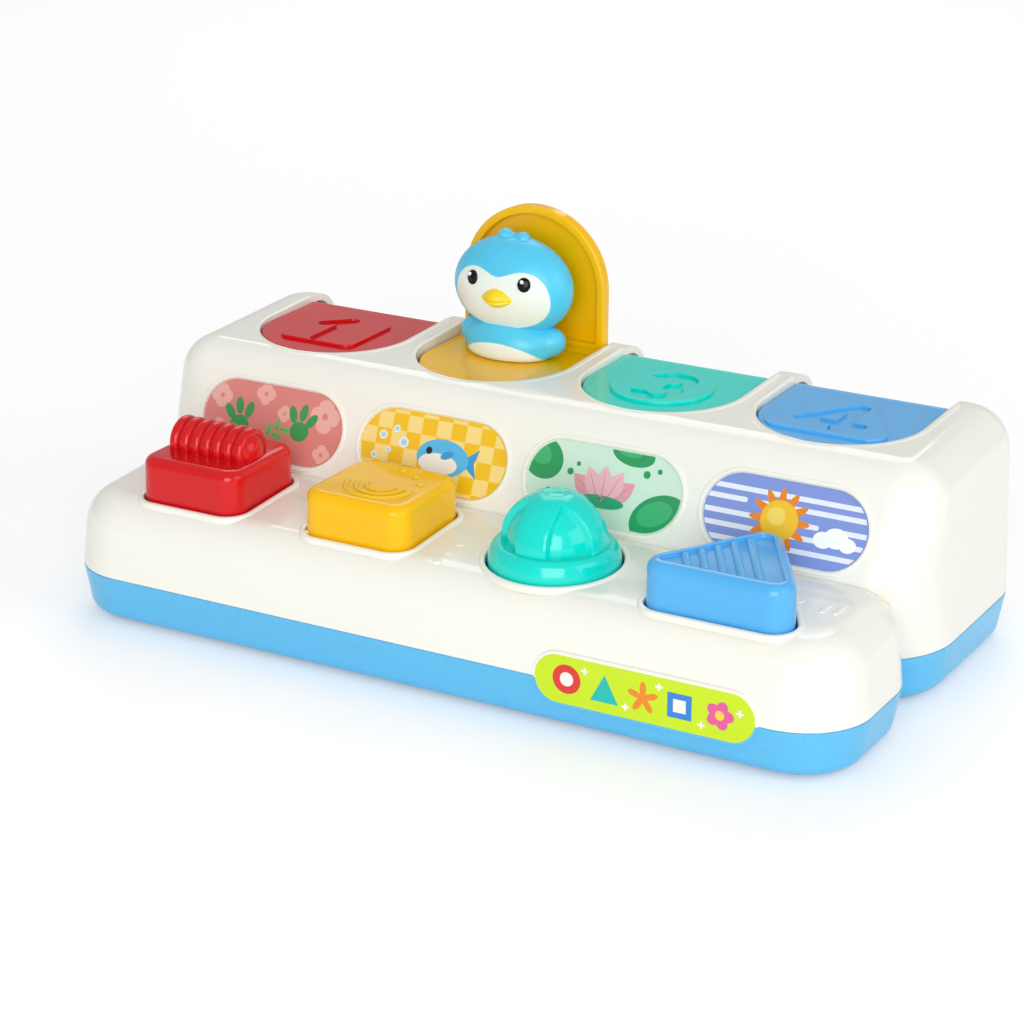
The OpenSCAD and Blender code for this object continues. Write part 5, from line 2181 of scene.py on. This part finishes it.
@dataclass
class Mechanism:
    """Springs, pins, rack, plate, bars and small screws inside the case."""

    palette: Palette
    case: Case
    squeeze: float = 6.5

    def coil(self, r: float, wire: float, z0: float, z1: float, turns: float) -> list[Vector]:
        """Path of a coil with its end turns closed.

        Args:
            r: Radius of the coil.
            wire: Radius of its wire.
            z0: Lower end.
            z1: Upper end.
            turns: Count of turns.

        Returns:
            The path.
        """
        count = int(turns * 28)
        close = 1.2 / turns
        path = []
        for k in range(count + 1):
            t = k / count
            rise = 0.0 if t < close else 1.0 if t > 1 - close else (t - close) / (1 - 2 * close)
            z = z0 + wire + (z1 - z0 - 2 * wire) * rise
            a = 2 * math.pi * turns * t
            path.append(Vector((r * math.cos(a), r * math.sin(a), z)))
        return path

    def build_springs(self) -> None:
        """Return springs, as short as a full press leaves them, and torsion springs of the flaps."""
        steel = self.palette.steel
        for column in Column:
            tag = column.tag
            seat = LAYOUT.cap_top if column is Column.TEAL else LAYOUT.cap_top - 3
            path = self.coil(8.2, 0.7, 26.5, seat - self.squeeze, 8)
            frame = LAYOUT.button(column)
            spring = Form().tube(path, 0.7, 8).build(f"button_spring_{tag}_coil", frame, [steel])
            place(spring, "housing", "steel", f"button_spring_{tag}")
            turns = [2 * math.pi * k / 28 for k in range(169)]
            wind = [
                Vector((3.0 - 6.5 * k / 168, 3.3 * math.cos(a), 3.3 * math.sin(a)))
                for k, a in enumerate(turns)
            ]
            leg = [Vector((3.2, 3.3, -16.5 + 0.5 * k)) for k in range(33)]
            form = Form().tube(leg + wind, 0.5, 8)
            twist = form.build(f"flap_spring_{tag}_coil", LAYOUT.at(column.x, 0, LAYOUT.hinge_z), [steel])
            place(twist, "housing", "steel", f"flap_spring_{tag}")

    def build_screws(self) -> None:
        """Screws of the animals and of the bars."""
        steel, short, long = self.palette.steel, self.case.screw(8.3, 1.6), self.case.screw(13, 1.6)
        for column in Column:
            tag, seat, foot = column.tag, LAYOUT.figure(column), LAYOUT.button(column, 13)
            made = repeat(f"figure_screw_{tag}_steel", short, [Vector((0, 0, -2.8))], steel, seat, 60)
            place(made, f"flap_{tag}", "steel", f"figure_screw_{tag}")
            made = repeat(f"bar_screw_{tag}_steel", long, [Vector((0, 0, 0))], steel, foot, 60)
            place(made, f"button_{tag}", "steel", f"bar_screw_{tag}")

    def build_hidden(self) -> None:
        """Rack, plate, bars and pins."""
        inner, steel = self.palette.inner, self.palette.steel
        for node in ("hinge_rack", "control_plate"):
            place(soften(node, f"{node}_moulding", inner), "housing", "white_inner", node)
        for column in Column:
            tag = column.tag
            made = soften(f"release_bar_{tag}", f"release_bar_{tag}_moulding", inner)
            place(made, f"button_{tag}", "white_inner", f"release_bar_{tag}")
            pin = Form().plate(disc(1.5, 8), -32.9, 32.9, 0.3, 0.3)
            made = pin.build(f"pin_{tag}_steel", LAYOUT.at(column.x, 0, LAYOUT.hinge_z) @ turn_y(90), [steel])
            place(made, "housing", "steel", f"pin_{tag}")

    def build(self) -> None:
        """Builds the mechanism."""
        self.build_springs()
        self.build_screws()
        self.build_hidden()


# ---- studio ----


@dataclass
class Studio:
    """Camera, floor and soft light."""

    eye: tuple[float, float, float] = (449.1, -830.2, 391.0)
    back: tuple[float, float, float] = (0.4544, -0.8198, 0.3484)
    roll: float = 0.43
    lens: float = 102.4

    def add_camera(self) -> None:
        """Camera at the photograph's angle."""
        data = bpy.data.cameras.new("camera")
        data.lens = self.lens
        data.sensor_width = 36.0
        data.clip_end = 20.0
        camera = new_object("camera", data)
        back = Vector(self.back).normalized()
        right = (-back).cross(Vector((0, 0, 1))).normalized()
        up = right.cross(-back)
        c, s = math.cos(math.radians(self.roll)), math.sin(math.radians(self.roll))
        columns = (c * right + s * up, -s * right + c * up, back)
        turn = Matrix([[columns[k][r] for k in range(3)] for r in range(3)]).to_4x4()
        camera.matrix_world = Matrix.Translation(MM * Vector(self.eye)) @ turn
        bpy.context.scene.camera = camera

    def add_floor(self) -> None:
        """Pale matt floor that keeps the toy's shadow and is near white to the camera."""
        mesh = bpy.data.meshes.new("floor")
        mesh.from_pydata([(-6, -6, 0), (6, -6, 0), (6, 6, 0), (-6, 6, 0)], [], [(0, 1, 2, 3)])
        floor = new_object("floor", mesh)
        made, tree, shader, coords = start_material("matt_white_paper")
        hue, _ = mottle(tree, coords, (3, 3.0), linear("#EDEDED"), linear("#F0F0F0"))
        rays = add_node(tree, "ShaderNodeLightPath")
        sides = {0: rays.outputs["Is Camera Ray"], 1: rays.outputs["Is Glossy Ray"]}
        seen = add_node(tree, "ShaderNodeMath", {"operation": "MAXIMUM"}, sides)
        lift = add_node(tree, "ShaderNodeMath", {"operation": "MULTIPLY", 1: 0.27}, {0: seen.outputs[0]})
        links = {"Base Color": hue, "Emission Strength": lift.outputs[0]}
        wire(tree, shader, {"Roughness": 0.95, "Emission Color": (1, 1, 1, 1)}, links)
        mesh.materials.append(made)

    def add_light(self, name: str, at: Sequence[float], size: float, power: float) -> None:
        """Square soft light that looks at the toy."""
        data = bpy.data.lights.new(name, "AREA")
        data.shape = "SQUARE"
        data.size = size
        data.energy = power
        lamp = new_object(name, data)
        lamp.location = at
        lamp.rotation_euler = (Vector((0, -0.02, 0.05)) - Vector(at)).to_track_quat("-Z", "Y").to_euler()

    def add_world(self) -> None:
        """White surroundings, plain to the camera and softer as light."""
        world = bpy.data.worlds.new("studio")
        bpy.context.scene.world = world
        world.use_nodes = True
        tree = world.node_tree
        tree.nodes.clear()
        rays = add_node(tree, "ShaderNodeLightPath")
        seen = {"Value": rays.outputs["Is Camera Ray"]}
        level = add_node(tree, "ShaderNodeMapRange", {"To Min": 0.54, "To Max": 1.0}, seen)
        sky = add_node(tree, "ShaderNodeBackground", {"Color": (1, 1, 1, 1)}, {"Strength": level.outputs[0]})
        add_node(tree, "ShaderNodeOutputWorld", {}, {"Surface": sky.outputs[0]})

    def build(self) -> None:
        """Sets up the studio."""
        self.add_camera()
        self.add_floor()
        self.add_world()
        self.add_light("key", (0.8, -1.7, 0.6), 1.3, 21)
        self.add_light("fill", (1.7, -0.1, 0.8), 1.2, 6.5)
        self.add_light("back", (-0.6, 1.2, 1.3), 1.0, 6)
        bpy.context.scene.view_settings.view_transform = "Standard"


def main() -> None:
    """Builds the toy piece by piece."""
    logging.basicConfig(level=logging.INFO, format="%(name)s: %(message)s")
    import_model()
    Studio().build()
    palette = Palette()
    case = Case(palette)
    case.build()
    for column in Column:
        Flap(palette, column).build()
        Button(palette, column).build()
    Dinosaur(palette, Column.RED, (17, 13.5, 17)).build()
    Penguin(palette, Column.YELLOW, (23, 13.2, 18)).build()
    Hippo(palette, Column.TEAL, (19.5, 13.5, 17.5)).build()
    Lion(palette, Column.BLUE, (16.5, 12.5, 15.5)).build()
    Labels(palette).build()
    Mechanism(palette, case).build()


if __name__ == "__main__":
    main()
